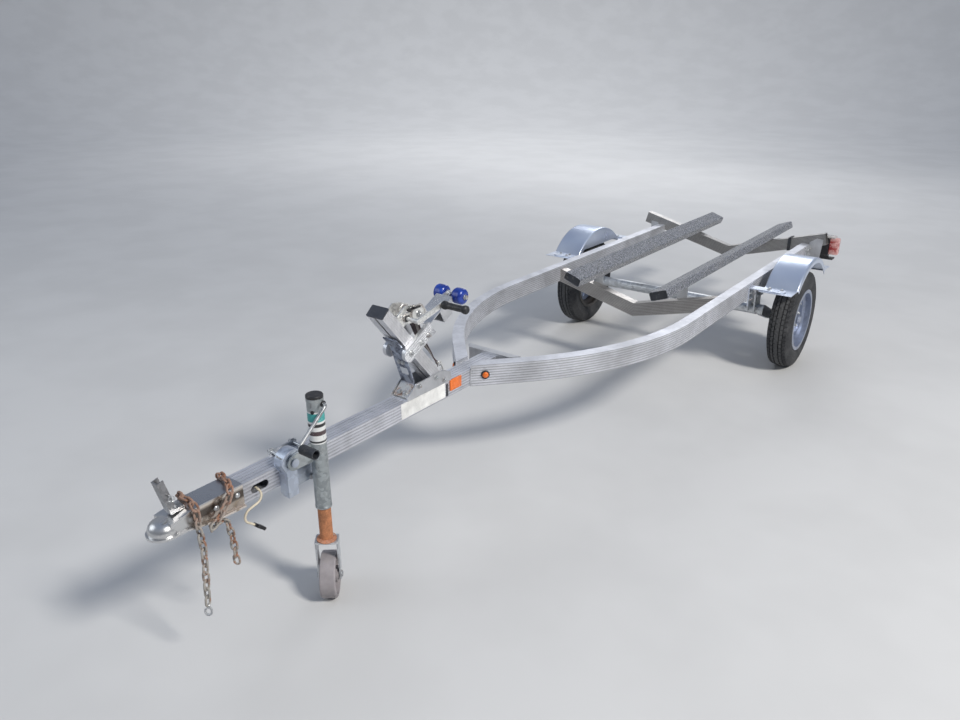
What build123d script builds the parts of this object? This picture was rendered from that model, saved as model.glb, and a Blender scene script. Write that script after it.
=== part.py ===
# Boat trailer for one small craft, in ribbed aluminium extrusions.
# Millimetres. +X is the trailer's left, +Y its rear, +Z up. Z = 0 is the floor under
# the tyres and the jack's wheel, and the origin is under the middle of the length.
import os
from math import atan2, cos, degrees, hypot, radians, sin, tan

from build123d import *

# ------------------------------------------------------------------ driving sizes
AXLE_Y = 1143.0            # the wheels' axis, measured from the middle of the length
WHEEL_Z = 268.0            # the wheels' axis above the floor
WHEEL_X = 650.0            # middle of a tyre

# frame extrusions: width, height, wall
RAIL = (50.0, 85.0, 3.5)
TONGUE = (70.0, 65.0, 4.0)
BEAM = (50.0, 70.0, 3.2)
RAIL_X, RAIL_Z = 480.0, 479.5          # middle of a side rail
RAIL_BEND_R, RAIL_BEND = 1232.0, 42.0  # middle line of the bend, and its angle
RAIL_BEND_Y, RAIL_REAR_Y = -1100.0, 745.0
TONGUE_Z, TONGUE_FRONT_Y, TONGUE_REAR_Y = 475.5, -3262.0, -1940.0
FRONT_BEAM_Y, FRONT_BEAM_Z, FRONT_BEAM_RISE = -615.0, 356.5, 114.5
REAR_BEAM_Y, REAR_BEAM_Z, REAR_BEAM_RISE = 770.0, 403.0, 160.0
REAR_BEAM_X = 594.0

# running gear
AXLE_TUBE_Y, AXLE_TUBE_Z, AXLE_TUBE_R = -150.0, 330.0, 27.5
SPINDLE_R, HUB_BORE_R = 12.5, 12.56
TYRE_R, TYRE_W, BEAD_R = 268.0, 122.0, 153.0
STUD_CIRCLE_R, STUDS = 57.15, 5
FENDER_R, FENDER_X0, FENDER_X1, FENDER_T = 345.0, 555.0, 725.0, 3.0
FENDER_ARC = 49.0                       # half angle of the arch
FENDER_WALL_R, FENDER_WALL_Z = 335.0, 515.0

# bunks
BUNK_W, BUNK_H, BUNK_TILT = 96.0, 45.0, 20.0
BUNK_EDGE_X, BUNK_EDGE_Z = 277.0, 575.0
BUNK_Y0, BUNK_Y1 = -883.0, 1134.0

# coupler and jack
BALL_Y, BALL_Z, SOCKET_R = -3374.0, 469.5, 25.9
JACK_X, JACK_Y = 82.0, -2906.0
JACK_PIVOT_Y, JACK_PIVOT_Z = -2997.0, 522.0
JACK_TUBE_R, JACK_LEG_R, JACK_GAP = 25.0, 20.5, 0.4
BRACKET_R = 39.5                        # arch of the jack's bracket, round the pivot
CASTER_R, CASTER_W, CASTER_YAW, CASTER_TRAIL = 75.0, 50.0, 40.0, 6.0

# winch post and bow stop
POST_W, POST_D, POST_FOOT_Y, POST_HEAD_Y, POST_HEAD_Z = 70.0, 42.0, -2267.0, -2548.0, 844.0
TONGUE_TOP = TONGUE_Z + TONGUE[1] / 2
ARM_SLOPE, ARM_X = 28.0, 36.0           # the arms' rise, and their inner faces
ROLLER_X, ROLLER_Y, ROLLER_Z, ROLLER_R, ROLLER_W = 41.0, -2173.5, 816.0, 29.5, 46.0
BOW_BOLT_R = 8.0


def at(y):
    """A place along the length, measured back from the wheels' axis."""
    return AXLE_Y + y


def along(x, y, z, direction, across=(1, 0, 0)):
    """A plane at a point whose normal runs along a member."""
    return Plane(origin=(x, at(y), z), x_dir=across, z_dir=direction)


def side(x):
    """A plane facing +X: local x is the trailer's +Y, local y is up."""
    return Plane(origin=(x, AXLE_Y, 0), x_dir=(0, 1, 0), z_dir=(1, 0, 0))


def ribbed_tube(size, side_pitch, side_grooves, top_pitch=0, top_grooves=0):
    """Hollow extrusion with fine grooves along its sides."""
    width, height, wall = size
    Rectangle(width, height)
    Rectangle(width - 2 * wall, height - 2 * wall, mode=Mode.SUBTRACT)
    with GridLocations(width, side_pitch, 2, side_grooves):
        Rectangle(2.4, 2.0, mode=Mode.SUBTRACT)
    if top_grooves:
        with GridLocations(top_pitch, height, top_grooves, 2):
            Rectangle(2.0, 2.4, mode=Mode.SUBTRACT)


pieces = {}

# ------------------------------------------------------------------ frame
with BuildPart() as tongue:
    with BuildSketch(along(0, TONGUE_REAR_Y, TONGUE_Z, (0, -1, 0))):
        ribbed_tube(TONGUE, 11.0, 5, 14.0, 4)
    extrude(amount=TONGUE_REAR_Y - TONGUE_FRONT_Y)
    # oblong hole in the left side that the wiring comes out of
    with BuildSketch(side(TONGUE[0] / 2 + 1)):
        with Locations((-3092.0, 474.0)):
            SlotOverall(62.0, 24.0)
    extrude(amount=-8.0, mode=Mode.SUBTRACT)
pieces["tongue"] = tongue

bend_dir = (-sin(radians(RAIL_BEND)), -cos(radians(RAIL_BEND)))
bend_end = (RAIL_X - RAIL_BEND_R * (1 - cos(radians(RAIL_BEND))),
            RAIL_BEND_Y - RAIL_BEND_R * sin(radians(RAIL_BEND)))
with BuildPart() as rail_left:
    with BuildLine(Plane.XY.offset(RAIL_Z)):
        Line((RAIL_X, at(RAIL_REAR_Y)), (RAIL_X, at(RAIL_BEND_Y)))
        CenterArc((RAIL_X - RAIL_BEND_R, at(RAIL_BEND_Y)), RAIL_BEND_R, 0, -RAIL_BEND)
        Line((bend_end[0], at(bend_end[1])),
             (bend_end[0] + 262 * bend_dir[0], at(bend_end[1] + 262 * bend_dir[1])))
    with BuildSketch(along(RAIL_X, RAIL_REAR_Y, RAIL_Z, (0, -1, 0))):
        ribbed_tube(RAIL, 10.5, 7)
    sweep()
    split(bisect_by=Plane.YZ.offset(TONGUE[0] / 2), keep=Keep.TOP)
pieces["rail_left"] = rail_left

with BuildPart() as rail_right:
    mirror(rail_left.part, about=Plane.YZ)
pieces["rail_right"] = rail_right

# channel across the tongue's rear end, between the two rails
with BuildPart() as tongue_cross:
    with BuildSketch(Plane.XY.offset(437.0)):
        with BuildLine():
            Polyline((-97.5, at(-1940)), (97.5, at(-1940)), (129.0, at(-1905)),
                     (-129.0, at(-1905)), close=True)
        make_face()
    extrude(amount=83.0)
    with BuildSketch(Plane.XY.offset(443.0)):
        with Locations((0, at(-1915))):
            Rectangle(300.0, 38.0)
    extrude(amount=71.0, mode=Mode.SUBTRACT)
pieces["tongue_cross"] = tongue_cross


def sloped_beam(y, z, rise, run, reach, square_end):
    """Half of a shallow V, drawn into the current part and mirrored."""
    slope = atan2(rise, run)
    direction = (cos(slope), 0, sin(slope))
    origin = (-60.0 * direction[0], at(y), z - 60.0 * direction[2])
    with BuildSketch(Plane(origin=origin, x_dir=(0, 1, 0), z_dir=direction)) as section:
        ribbed_tube(BEAM, 8.0, 8)
    extrude(section.sketch, amount=60.0 + reach / cos(slope) + (0 if square_end else 40.0))
    split(bisect_by=Plane.YZ, keep=Keep.TOP)
    if not square_end:
        split(bisect_by=Plane.YZ.offset(reach), keep=Keep.BOTTOM)
    mirror(about=Plane.YZ)


inner_x = RAIL_X - RAIL[0] / 2
with BuildPart() as cross_member_front:
    sloped_beam(FRONT_BEAM_Y, FRONT_BEAM_Z, FRONT_BEAM_RISE, inner_x, inner_x, False)
pieces["cross_member_front"] = cross_member_front

with BuildPart() as cross_member_rear:
    sloped_beam(REAR_BEAM_Y, REAR_BEAM_Z, REAR_BEAM_RISE, REAR_BEAM_X, REAR_BEAM_X, True)
pieces["cross_member_rear"] = cross_member_rear

# plates that tie each rail's end to the rear cross member: an ear along the rail, and a
# plate across; the left one runs on out to the tail light
with BuildPart() as rail_end_brackets:
    with BuildSketch(side(505.0)):
        with Locations((700.0, 480.0)):
            Rectangle(90.0, 76.0)
    extrude(amount=6.0)
    mirror(about=Plane.YZ)
    with BuildSketch(Plane(origin=(0, at(745.0), 0), x_dir=(1, 0, 0), z_dir=(0, -1, 0))):
        with BuildLine():
            Polyline((505, 447), (574, 447), (582, 558), (545, 563), (505, 534), close=True)
        make_face()
        with BuildLine():
            Polyline((-505, 447), (-555, 447), (-555, 540), (-505, 534), close=True)
        make_face()
    extrude(amount=6.0)
pieces["rail_end_brackets"] = rail_end_brackets

# gussets behind the joint in the middle of each V
with BuildPart() as beam_gussets:
    for y, z, rise, run in ((-585.0, 356.5, 114.5, 455.0), (800.0, 403.0, 160.0, 594.0)):
        k = rise / run
        with BuildSketch(Plane(origin=(0, at(y), z), x_dir=(1, 0, 0), z_dir=(0, -1, 0))):
            with BuildLine():
                Polyline((0, -28), (75, 75 * k - 28), (75, 75 * k + 24), (0, 24),
                         (-75, 75 * k + 24), (-75, 75 * k - 28), close=True)
            make_face()
        extrude(amount=5.0)
pieces["beam_gussets"] = beam_gussets

# ------------------------------------------------------------------ bunks
tilt = radians(BUNK_TILT)
bunk_across = (cos(tilt), sin(tilt))           # from the inner edge out and up
bunk_up = (-sin(tilt), cos(tilt))
bunk_mid = (BUNK_EDGE_X - BUNK_W / 2 * bunk_across[0] - BUNK_H / 2 * bunk_up[0],
            BUNK_EDGE_Z - BUNK_W / 2 * bunk_across[1] - BUNK_H / 2 * bunk_up[1])
with BuildPart() as bunk_left:
    with BuildSketch(Plane(origin=(bunk_mid[0], at(BUNK_Y1), bunk_mid[1]),
                           x_dir=(bunk_across[0], 0, bunk_across[1]), z_dir=(0, -1, 0))):
        RectangleRounded(BUNK_W, BUNK_H, 7.0)
    extrude(amount=BUNK_Y1 - BUNK_Y0)
pieces["bunk_left"] = bunk_left

with BuildPart() as bunk_right:
    mirror(bunk_left.part, about=Plane.YZ)
pieces["bunk_right"] = bunk_right


def under_bunk(x, drop=0.0):
    """Height of a bunk's lower face at x, less a drop square to that face."""
    foot_z = BUNK_EDGE_Z - BUNK_H * bunk_up[1] + (x - BUNK_EDGE_X + BUNK_H * bunk_up[0]) * tan(tilt)
    return foot_z - drop / cos(tilt)


with BuildPart() as bunk_brackets_front:
    for depth, y, x0, x1, bottom in ((6.0, -584.0, 216.0, 268.0, 424.0),
                                     (60.0, -584.0, 216.0, 268.0, None)):
        with BuildSketch(Plane(origin=(0, at(y), 0), x_dir=(1, 0, 0), z_dir=(0, -1, 0))):
            with BuildLine():
                if bottom:
                    Polyline((x0, bottom), (x1, bottom), (x1, under_bunk(x1)),
                             (x0, under_bunk(x0)), close=True)
                else:
                    Polyline((x0, under_bunk(x0, 5)), (x1, under_bunk(x1, 5)),
                             (x1, under_bunk(x1)), (x0, under_bunk(x0)), close=True)
            make_face()
        extrude(amount=depth)
    mirror(about=Plane.YZ)
pieces["bunk_brackets_front"] = bunk_brackets_front

with BuildPart() as bunk_brackets_rear:
    for depth, y, x0, x1, bottom in ((6.0, 801.0, 216.0, 268.0, 452.0),
                                     (60.0, 801.0, 216.0, 268.0, None)):
        with BuildSketch(Plane(origin=(0, at(y), 0), x_dir=(1, 0, 0), z_dir=(0, -1, 0))):
            with BuildLine():
                if bottom:
                    Polyline((x0, bottom), (x1, bottom), (x1, under_bunk(x1)),
                             (x0, under_bunk(x0)), close=True)
                else:
                    Polyline((x0, under_bunk(x0, 5)), (x1, under_bunk(x1, 5)),
                             (x1, under_bunk(x1)), (x0, under_bunk(x0)), close=True)
            make_face()
        extrude(amount=depth)
    mirror(about=Plane.YZ)
pieces["bunk_brackets_rear"] = bunk_brackets_rear

# ------------------------------------------------------------------ running gear
rail_under = RAIL_Z - RAIL[1] / 2
with BuildPart() as axle:
    with BuildSketch(side(-498.0)):
        with Locations((AXLE_TUBE_Y, AXLE_TUBE_Z)):
            Circle(AXLE_TUBE_R)
    extrude(amount=996.0)
    # a hanger under each rail: two cheeks and a top plate
    for x0, x1, low, half in ((458.0, 464.0, 322.0, 45.0), (492.0, 498.0, 322.0, 45.0),
                              (455.0, 505.0, rail_under - 6.0, 60.0)):
        with BuildSketch(side(x0)):
            with Locations((AXLE_TUBE_Y, (low + rail_under) / 2)):
                Rectangle(2 * half, rail_under - low)
        extrude(amount=x1 - x0)
    split(bisect_by=Plane.YZ, keep=Keep.TOP)
    mirror(about=Plane.YZ)
pieces["axle"] = axle

with BuildPart() as axle_arm_left:
    with BuildSketch(side(498.0)):
        with Locations((AXLE_TUBE_Y, AXLE_TUBE_Z)):
            Circle(25.0)
    extrude(amount=14.0)
    with BuildSketch(side(512.0)):
        with Locations((AXLE_TUBE_Y, AXLE_TUBE_Z)):
            Circle(30.0)
        with Locations((0, WHEEL_Z)):
            Circle(26.0)
        make_hull()
    extrude(amount=26.0)
    with BuildSketch(side(538.0)):
        with Locations((0, WHEEL_Z)):
            Circle(20.0)
    extrude(amount=16.0)
    with BuildSketch(side(554.0)):
        with Locations((0, WHEEL_Z)):
            Circle(SPINDLE_R)
    extrude(amount=114.0)
pieces["axle_arm_left"] = axle_arm_left

with BuildPart() as axle_arm_right:
    mirror(axle_arm_left.part, about=Plane.YZ)
pieces["axle_arm_right"] = axle_arm_right


def spun(x, profile):
    """Revolve a closed (offset, radius) outline about a wheel's axis."""
    with BuildSketch(Plane(origin=(x, AXLE_Y, WHEEL_Z), x_dir=(1, 0, 0), z_dir=(0, -1, 0))) as half:
        with BuildLine():
            Polyline(*profile, close=True)
        make_face()
    revolve(half.sketch, axis=Axis((x, AXLE_Y, WHEEL_Z), (1, 0, 0)), revolution_arc=360)


with BuildPart() as hub_left:
    # offset from x = 558, radius
    spun(558.0, ((0, HUB_BORE_R), (0, 30), (10, 34), (60, 34), (70, 40), (78, 66), (88, 66),
                 (88, 32), (106, 32), (106, 24), (128, 24), (136, 16), (136, 0), (112, 0),
                 (112, HUB_BORE_R)))
    with BuildSketch(side(646.0)):
        with Locations((0, WHEEL_Z)):
            with PolarLocations(STUD_CIRCLE_R, STUDS, 90.0):
                Circle(6.0)
    extrude(amount=24.0)
pieces["hub_left"] = hub_left

with BuildPart() as rim_left:
    # barrel, from the middle of the tyre
    spun(WHEEL_X, ((-56, 168.5), (-53, 168.5), (-53, 152.7), (-34, 152.7), (-24, 134),
                   (16, 134), (26, 152.7), (53, 152.7), (53, 168.5), (56, 168.5),
                   (56, 149.7), (27.8, 149.7), (17.8, 131), (-25.8, 131), (-35.8, 149.7),
                   (-56, 149.7)))
    # disc
    spun(WHEEL_X, ((-4, 33), (0, 33), (0, 72), (8, 84), (8, 114), (1, 131.5), (-3, 131.5),
                   (4, 113), (4, 86), (-4, 74)))
    with BuildSketch(side(WHEEL_X - 10.0)):
        with Locations((0, WHEEL_Z)):
            with PolarLocations(99.0, STUDS, 54.0):
                Circle(13.5)
            with PolarLocations(STUD_CIRCLE_R, STUDS, 90.0):
                Circle(6.6)
    extrude(amount=30.0, mode=Mode.SUBTRACT)
pieces["rim_left"] = rim_left

with BuildPart() as tyre_left:
    with BuildSketch(Plane(origin=(WHEEL_X, AXLE_Y, WHEEL_Z), x_dir=(1, 0, 0), z_dir=(0, -1, 0))):
        with BuildLine():
            Line((-50, BEAD_R), (50, BEAD_R))
            Line((50, BEAD_R), (50, 169))
            ThreePointArc((50, 169), (61, 208), (52, 249))
            ThreePointArc((52, 249), (49, 257), (42, 261.5))
            ThreePointArc((42, 261.5), (0, TYRE_R), (-42, 261.5))
            ThreePointArc((-42, 261.5), (-49, 257), (-52, 249))
            ThreePointArc((-52, 249), (-61, 208), (-50, 169))
            Line((-50, 169), (-50, BEAD_R))
        make_face()
    revolve(axis=Axis((WHEEL_X, AXLE_Y, WHEEL_Z), (1, 0, 0)), revolution_arc=360)
pieces["tyre_left"] = tyre_left

for name in ("hub", "rim", "tyre"):
    with BuildPart() as opposite:
        mirror(pieces[name + "_left"].part, about=Plane.YZ)
    pieces[name + "_right"] = opposite

a0, a1 = radians(90 - FENDER_ARC), radians(90 + FENDER_ARC)


def arch(outer, inner):
    """Sector of a ring over the wheel, in the current sketch."""
    with BuildLine() as outline:
        b = ThreePointArc((outer * cos(a0), WHEEL_Z + outer * sin(a0)), (0, WHEEL_Z + outer),
                          (outer * cos(a1), WHEEL_Z + outer * sin(a1)))
        c = ThreePointArc((inner * cos(a0), WHEEL_Z + inner * sin(a0)), (0, WHEEL_Z + inner),
                          (inner * cos(a1), WHEEL_Z + inner * sin(a1)))
        Line(b @ 0, c @ 0)
        Line(b @ 1, c @ 1)
    make_face(outline.edges())


lip_y = FENDER_R * cos(a0)
lip_z = WHEEL_Z + FENDER_R * sin(a0)
with BuildPart() as fender_hollow:
    with BuildSketch(side(FENDER_X0 + FENDER_T)):
        arch(FENDER_R - FENDER_T, FENDER_R - 60.0)
    extrude(amount=FENDER_X1 - FENDER_X0 - 2 * FENDER_T)
    fillet(fender_hollow.edges().filter_by(GeomType.CIRCLE).group_by(SortBy.RADIUS)[-1], radius=8.0)

with BuildPart() as fender_left:
    with BuildSketch(side(FENDER_X0)):
        arch(FENDER_R, FENDER_R - 28.0)
    extrude(amount=FENDER_X1 - FENDER_X0)
    rolled = fender_left.edges().filter_by(GeomType.CIRCLE).group_by(SortBy.RADIUS)[-1]
    fillet(rolled, radius=11.0)
    add(fender_hollow.part, mode=Mode.SUBTRACT)
    # inner side wall, down to a straight edge over the rail
    with BuildSketch(side(FENDER_X0)):
        with BuildLine():
            wall_y = (FENDER_WALL_R ** 2 - (FENDER_WALL_Z - WHEEL_Z) ** 2) ** 0.5
            ThreePointArc((wall_y, FENDER_WALL_Z), (0, WHEEL_Z + FENDER_WALL_R), (-wall_y, FENDER_WALL_Z))
            Line((-wall_y, FENDER_WALL_Z), (wall_y, FENDER_WALL_Z))
        make_face()
    extrude(amount=FENDER_T)
    # flat lip at each end of the arch
    with BuildSketch(side(FENDER_X0 + 4.0)):
        for s in (-1, 1):
            with Locations((s * (lip_y - 8.0 + 372.0) / 2, 493.5)):
                Rectangle(372.0 - lip_y + 8.0, FENDER_T)
    extrude(amount=FENDER_X1 - FENDER_X0 - 8.0)
pieces["fender_left"] = fender_left

with BuildPart() as fender_right:
    mirror(fender_left.part, about=Plane.YZ)
pieces["fender_right"] = fender_right

# angle brackets from the rail out over each lip
with BuildPart() as fender_bracket_left:
    for y in (-330.0, 330.0):
        with BuildSketch(Plane.XY.offset(495.0)):
            with Locations((578.0, at(y))):
                Rectangle(146.0, 60.0)
            with Locations((651.0, at(y))):
                Circle(30.0)
        extrude(amount=5.0)
        with BuildSketch(side(505.0)):
            with Locations((y, 450.0)):
                Rectangle(60.0, 100.0)
        extrude(amount=5.0)
pieces["fender_bracket_left"] = fender_bracket_left

with BuildPart() as fender_bracket_right:
    mirror(fender_bracket_left.part, about=Plane.YZ)
pieces["fender_bracket_right"] = fender_bracket_right

# ------------------------------------------------------------------ tail lights
# on the left only: the right one is gone
with BuildPart() as tail_light_left:
    for x0, x1, y0, y1, z0, z1 in ((556, 606, 795, 846, 440, 562), (556, 640, 795, 846, 430, 440)):
        with Locations(((x0 + x1) / 2, at((y0 + y1) / 2), (z0 + z1) / 2)):
            Box(x1 - x0, y1 - y0, z1 - z0)
pieces["tail_light_left"] = tail_light_left

with BuildPart() as tail_lens_left:
    with Locations((634.0, at(822.0), 512.0)):
        Box(56.0, 44.0, 104.0)
    fillet(tail_lens_left.edges().filter_by(Axis.Y).group_by(Axis.X)[-1], radius=12.0)
pieces["tail_lens_left"] = tail_lens_left

# ------------------------------------------------------------------ coupler
with BuildPart() as coupler:
    with BuildSketch(Plane(origin=(0, at(BALL_Y), 0), x_dir=(1, 0, 0), z_dir=(0, -1, 0))):
        with BuildLine():
            Polyline((41, 470), (41, 464), (46, 464), (46, 458), (0, 458), (0, 499), (14, 499))
            ThreePointArc((14, 499), (33, 490), (41, 470))
        make_face()
    revolve(axis=Axis((0, at(BALL_Y), 0), (0, 0, 1)), revolution_arc=360)
    with BuildSketch(side(-38.5)):
        with BuildLine():
            Polyline((BALL_Y, 458), (-3335, 458), (-3255, 444), (-3150, 440), (-3150, 511.5),
                     (-3285, 511.5), (BALL_Y, 497), close=True)
        make_face()
    extrude(amount=77.0)
    # rolled flange along the bottom
    with BuildSketch(side(-46.0)):
        with BuildLine():
            Polyline((BALL_Y, 458), (-3335, 458), (-3255, 444), (-3150, 440), (-3150, 446),
                     (-3255, 450), (-3335, 464), (BALL_Y, 464), close=True)
        make_face()
    extrude(amount=92.0)
    # the tongue's seat, the latch chamber and the ball's socket
    with BuildSketch(side(-35.0)):
        with Locations(((-3265.0 - 3149.0) / 2, 473.0)):
            Rectangle(116.0, 70.0)
    extrude(amount=70.0, mode=Mode.SUBTRACT)
    with BuildSketch(side(-33.0)):
        with Locations(((-3338.0 - 3265.0) / 2, 467.0)):
            Rectangle(73.0, 60.0)
    extrude(amount=66.0, mode=Mode.SUBTRACT)
    with BuildSketch(Plane(origin=(0, at(BALL_Y), BALL_Z), x_dir=(1, 0, 0), z_dir=(0, -1, 0))):
        with BuildLine():
            Polyline((0, SOCKET_R), (0, -32), (SOCKET_R, -32), (SOCKET_R, 0))
            RadiusArc((SOCKET_R, 0), (0, SOCKET_R), -SOCKET_R)
        make_face()
    revolve(axis=Axis((0, at(BALL_Y), BALL_Z), (0, 0, 1)), revolution_arc=360, mode=Mode.SUBTRACT)
pieces["coupler"] = coupler

with BuildPart() as coupler_latch:
    with Locations((0, at(-3334.0), 512.5)):
        Box(26.0, 40.0, 11.0)
    lever = Plane(origin=(0, at(-3345.0), 512.0), x_dir=(1, 0, 0), z_dir=(0, -0.24, 0.971))
    with BuildSketch(lever):
        Rectangle(26.0, 20.0)
    extrude(amount=101.0)
    with BuildSketch(lever.offset(10.0)):
        with Locations((0, 3.0)):
            Rectangle(20.0, 18.0)
    extrude(amount=96.0, mode=Mode.SUBTRACT)
pieces["coupler_latch"] = coupler_latch

# ------------------------------------------------------------------ jack
with BuildPart() as jack_bracket:
    # backing plate on the tongue's left side, up to the pivot
    with BuildSketch(side(35.0)):
        with Locations((-2952.0, 470.5)):
            Rectangle(140.0, 106.0)
        with Locations((JACK_PIVOT_Y, JACK_PIVOT_Z)):
            Circle(BRACKET_R)
    extrude(amount=6.0)
    # pressed cover: an outer face, and a rim round its front and its arched top
    for x, amount, hollow in ((41.0, 31.0, 0), (41.0, 27.5, 3.5)):
        py, pz, r = JACK_PIVOT_Y, JACK_PIVOT_Z, BRACKET_R - hollow
        with BuildSketch(side(x)):
            with BuildLine():
                Polyline((py - r, pz), (-3022 + hollow, 494), (-3022 + hollow, 412 - hollow),
                         (-2985 - hollow, 412 - hollow), (-2985 - hollow, 498), (py + r, pz))
                ThreePointArc((py + r, pz), (py, pz + r), (py - r, pz))
            make_face()
        extrude(amount=amount, mode=Mode.SUBTRACT if hollow else Mode.ADD)
    # pivot pin and its head
    for x, r, length in ((41.0, 10.0, 43.0), (80.0, 13.0, 4.0)):
        with BuildSketch(side(x)):
            with Locations((JACK_PIVOT_Y, JACK_PIVOT_Z)):
                Circle(r)
        extrude(amount=length)
pieces["jack_bracket"] = jack_bracket

# clamp plate on the tongue's far side and the two bolts over and under the tongue
with BuildPart() as jack_clamp:
    with BuildSketch(side(-41.0)):
        with Locations((-2945.0, 468.5)):
            Rectangle(104.0, 105.0)
    extrude(amount=6.0)
    for y in (-2985.0, -2905.0):
        for z in (424.0, 514.0):
            with BuildSketch(side(-50.0)):
                with Locations((y, z)):
                    Circle(5.0)
            extrude(amount=85.0)
pieces["jack_clamp"] = jack_clamp

with BuildPart() as jack_tube:
    with BuildSketch(Plane.XY.offset(334.0)):
        with Locations((JACK_X, at(JACK_Y))):
            Circle(JACK_TUBE_R)
    extrude(amount=366.0)
    # ear that turns on the pivot pin
    with BuildSketch(side(73.5)):
        with Locations((JACK_PIVOT_Y, JACK_PIVOT_Z)):
            Circle(24.0)
        with Locations((-2927.0, 527.0)):
            Rectangle(14.0, 62.0)
        make_hull()
    extrude(amount=6.0)
    with BuildSketch(side(73.0)):
        with Locations((JACK_PIVOT_Y, JACK_PIVOT_Z)):
            Circle(10.06)
    extrude(amount=7.0, mode=Mode.SUBTRACT)
    with BuildSketch(Plane.XY.offset(333.0)):
        with Locations((JACK_X, at(JACK_Y))):
            Circle(JACK_LEG_R + JACK_GAP)
    extrude(amount=368.0, mode=Mode.SUBTRACT)
pieces["jack_tube"] = jack_tube

with BuildPart() as jack_cap:
    with BuildSketch(Plane.XY.offset(700.0)):
        with Locations((JACK_X, at(JACK_Y))):
            Circle(JACK_TUBE_R + 1.0)
    extrude(amount=9.0)
    fillet(jack_cap.edges().group_by(Axis.Z)[-1], radius=3.0)
pieces["jack_cap"] = jack_cap

crank_x = 121.0
crank_hub, crank_tip = (-2898.0, 682.0), (-3009.0, 590.0)
with BuildPart() as jack_crank:
    with BuildLine():
        FilletPolyline((JACK_X + JACK_TUBE_R - 0.5, at(crank_hub[0]), crank_hub[1]),
                       (crank_x, at(crank_hub[0]), crank_hub[1]),
                       (crank_x, at(crank_tip[0]), crank_tip[1]),
                       (crank_x + 68.0, at(crank_tip[0]), crank_tip[1]), radius=10.0)
    with BuildSketch(side(JACK_X + JACK_TUBE_R - 0.5)):
        with Locations(crank_hub):
            Circle(5.0)
    sweep()
    # the shaft's collar, and the tube's curve taken out of both
    with BuildSketch(side(104.0)):
        with Locations(crank_hub):
            Circle(9.0)
    extrude(amount=5.0)
    with BuildSketch(Plane.XY.offset(600.0)):
        with Locations((JACK_X, at(JACK_Y))):
            Circle(JACK_TUBE_R)
    extrude(amount=98.0, mode=Mode.SUBTRACT)
pieces["jack_crank"] = jack_crank

with BuildPart() as jack_grip:
    with BuildSketch(side(crank_x + 12.0)):
        with Locations(crank_tip):
            Circle(13.5)
            Circle(5.0, mode=Mode.SUBTRACT)
    extrude(amount=58.0)
pieces["jack_grip"] = jack_grip

with BuildPart() as jack_leg:
    with BuildSketch(Plane.XY.offset(221.0)):
        with Locations((JACK_X, at(JACK_Y))):
            Circle(JACK_LEG_R)
            Circle(9.06, mode=Mode.SUBTRACT)
    extrude(amount=340.0)
pieces["jack_leg"] = jack_leg

# flared cup at the leg's foot, which the caster hangs in
with BuildPart() as jack_foot:
    with BuildSketch(Plane(origin=(JACK_X, at(JACK_Y), 0), x_dir=(1, 0, 0), z_dir=(0, -1, 0))) as half:
        with BuildLine():
            Polyline((9.3, 213.5), (31, 213.5), (31, 217), (22, 220.7), (9.3, 220.7), close=True)
        make_face()
    revolve(half.sketch, axis=Axis((JACK_X, at(JACK_Y), 0), (0, 0, 1)), revolution_arc=360)
pieces["jack_foot"] = jack_foot

fork = Plane(origin=(JACK_X, at(JACK_Y), 0), x_dir=(cos(radians(CASTER_YAW)), sin(radians(CASTER_YAW)), 0),
             z_dir=(0, 0, 1))
fork_side = Plane(origin=(JACK_X, at(JACK_Y), 0),
                  x_dir=(-sin(radians(CASTER_YAW)), cos(radians(CASTER_YAW)), 0),
                  z_dir=(cos(radians(CASTER_YAW)), sin(radians(CASTER_YAW)), 0))
with BuildPart() as caster_fork:
    with BuildSketch(fork.offset(207.0)):
        RectangleRounded(72.0, 50.0, 6.0)
    extrude(amount=6.0)
    with BuildSketch(fork.offset(213.0)):
        Circle(9.0)
    extrude(amount=42.0)
    for x in (-36.0, 31.0):
        with BuildSketch(fork_side.offset(x)):
            with BuildLine():
                Polyline((-20, 213), (20, 213), (CASTER_TRAIL + 13, CASTER_R), (CASTER_TRAIL + 13, 62),
                         (CASTER_TRAIL - 13, 62), (CASTER_TRAIL - 13, CASTER_R), close=True)
            make_face()
        extrude(amount=5.0)
    with BuildSketch(fork_side.offset(-40.0)):
        with Locations((CASTER_TRAIL, CASTER_R)):
            Circle(6.0)
    extrude(amount=80.0)
pieces["caster_fork"] = caster_fork

with BuildPart() as caster_wheel:
    with BuildSketch(fork_side.offset(-28.5)):
        with Locations((CASTER_TRAIL, CASTER_R)):
            Circle(18.0)
    extrude(amount=57.0)
    with BuildSketch(fork_side.offset(-CASTER_W / 2)):
        with Locations((CASTER_TRAIL, CASTER_R)):
            Circle(CASTER_R)
    extrude(amount=CASTER_W)
    fillet(caster_wheel.edges().filter_by(GeomType.CIRCLE).group_by(SortBy.RADIUS)[-1], radius=5.0)
    for x in (-26.0, 6.0):
        with BuildSketch(fork_side.offset(x)):
            with Locations((CASTER_TRAIL, CASTER_R)):
                Circle(63.0)
                Circle(26.0, mode=Mode.SUBTRACT)
        extrude(amount=20.0, mode=Mode.SUBTRACT)
    # five openings in the web
    with BuildSketch(fork_side.offset(-8.0)):
        with Locations((CASTER_TRAIL, CASTER_R)):
            with PolarLocations(44.5, 5, 18.0):
                Circle(13.0)
    extrude(amount=16.0, mode=Mode.SUBTRACT)
    with BuildSketch(fork_side.offset(-30.0)):
        with Locations((CASTER_TRAIL, CASTER_R)):
            Circle(6.06)
    extrude(amount=60.0, mode=Mode.SUBTRACT)
pieces["caster_wheel"] = caster_wheel

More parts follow.
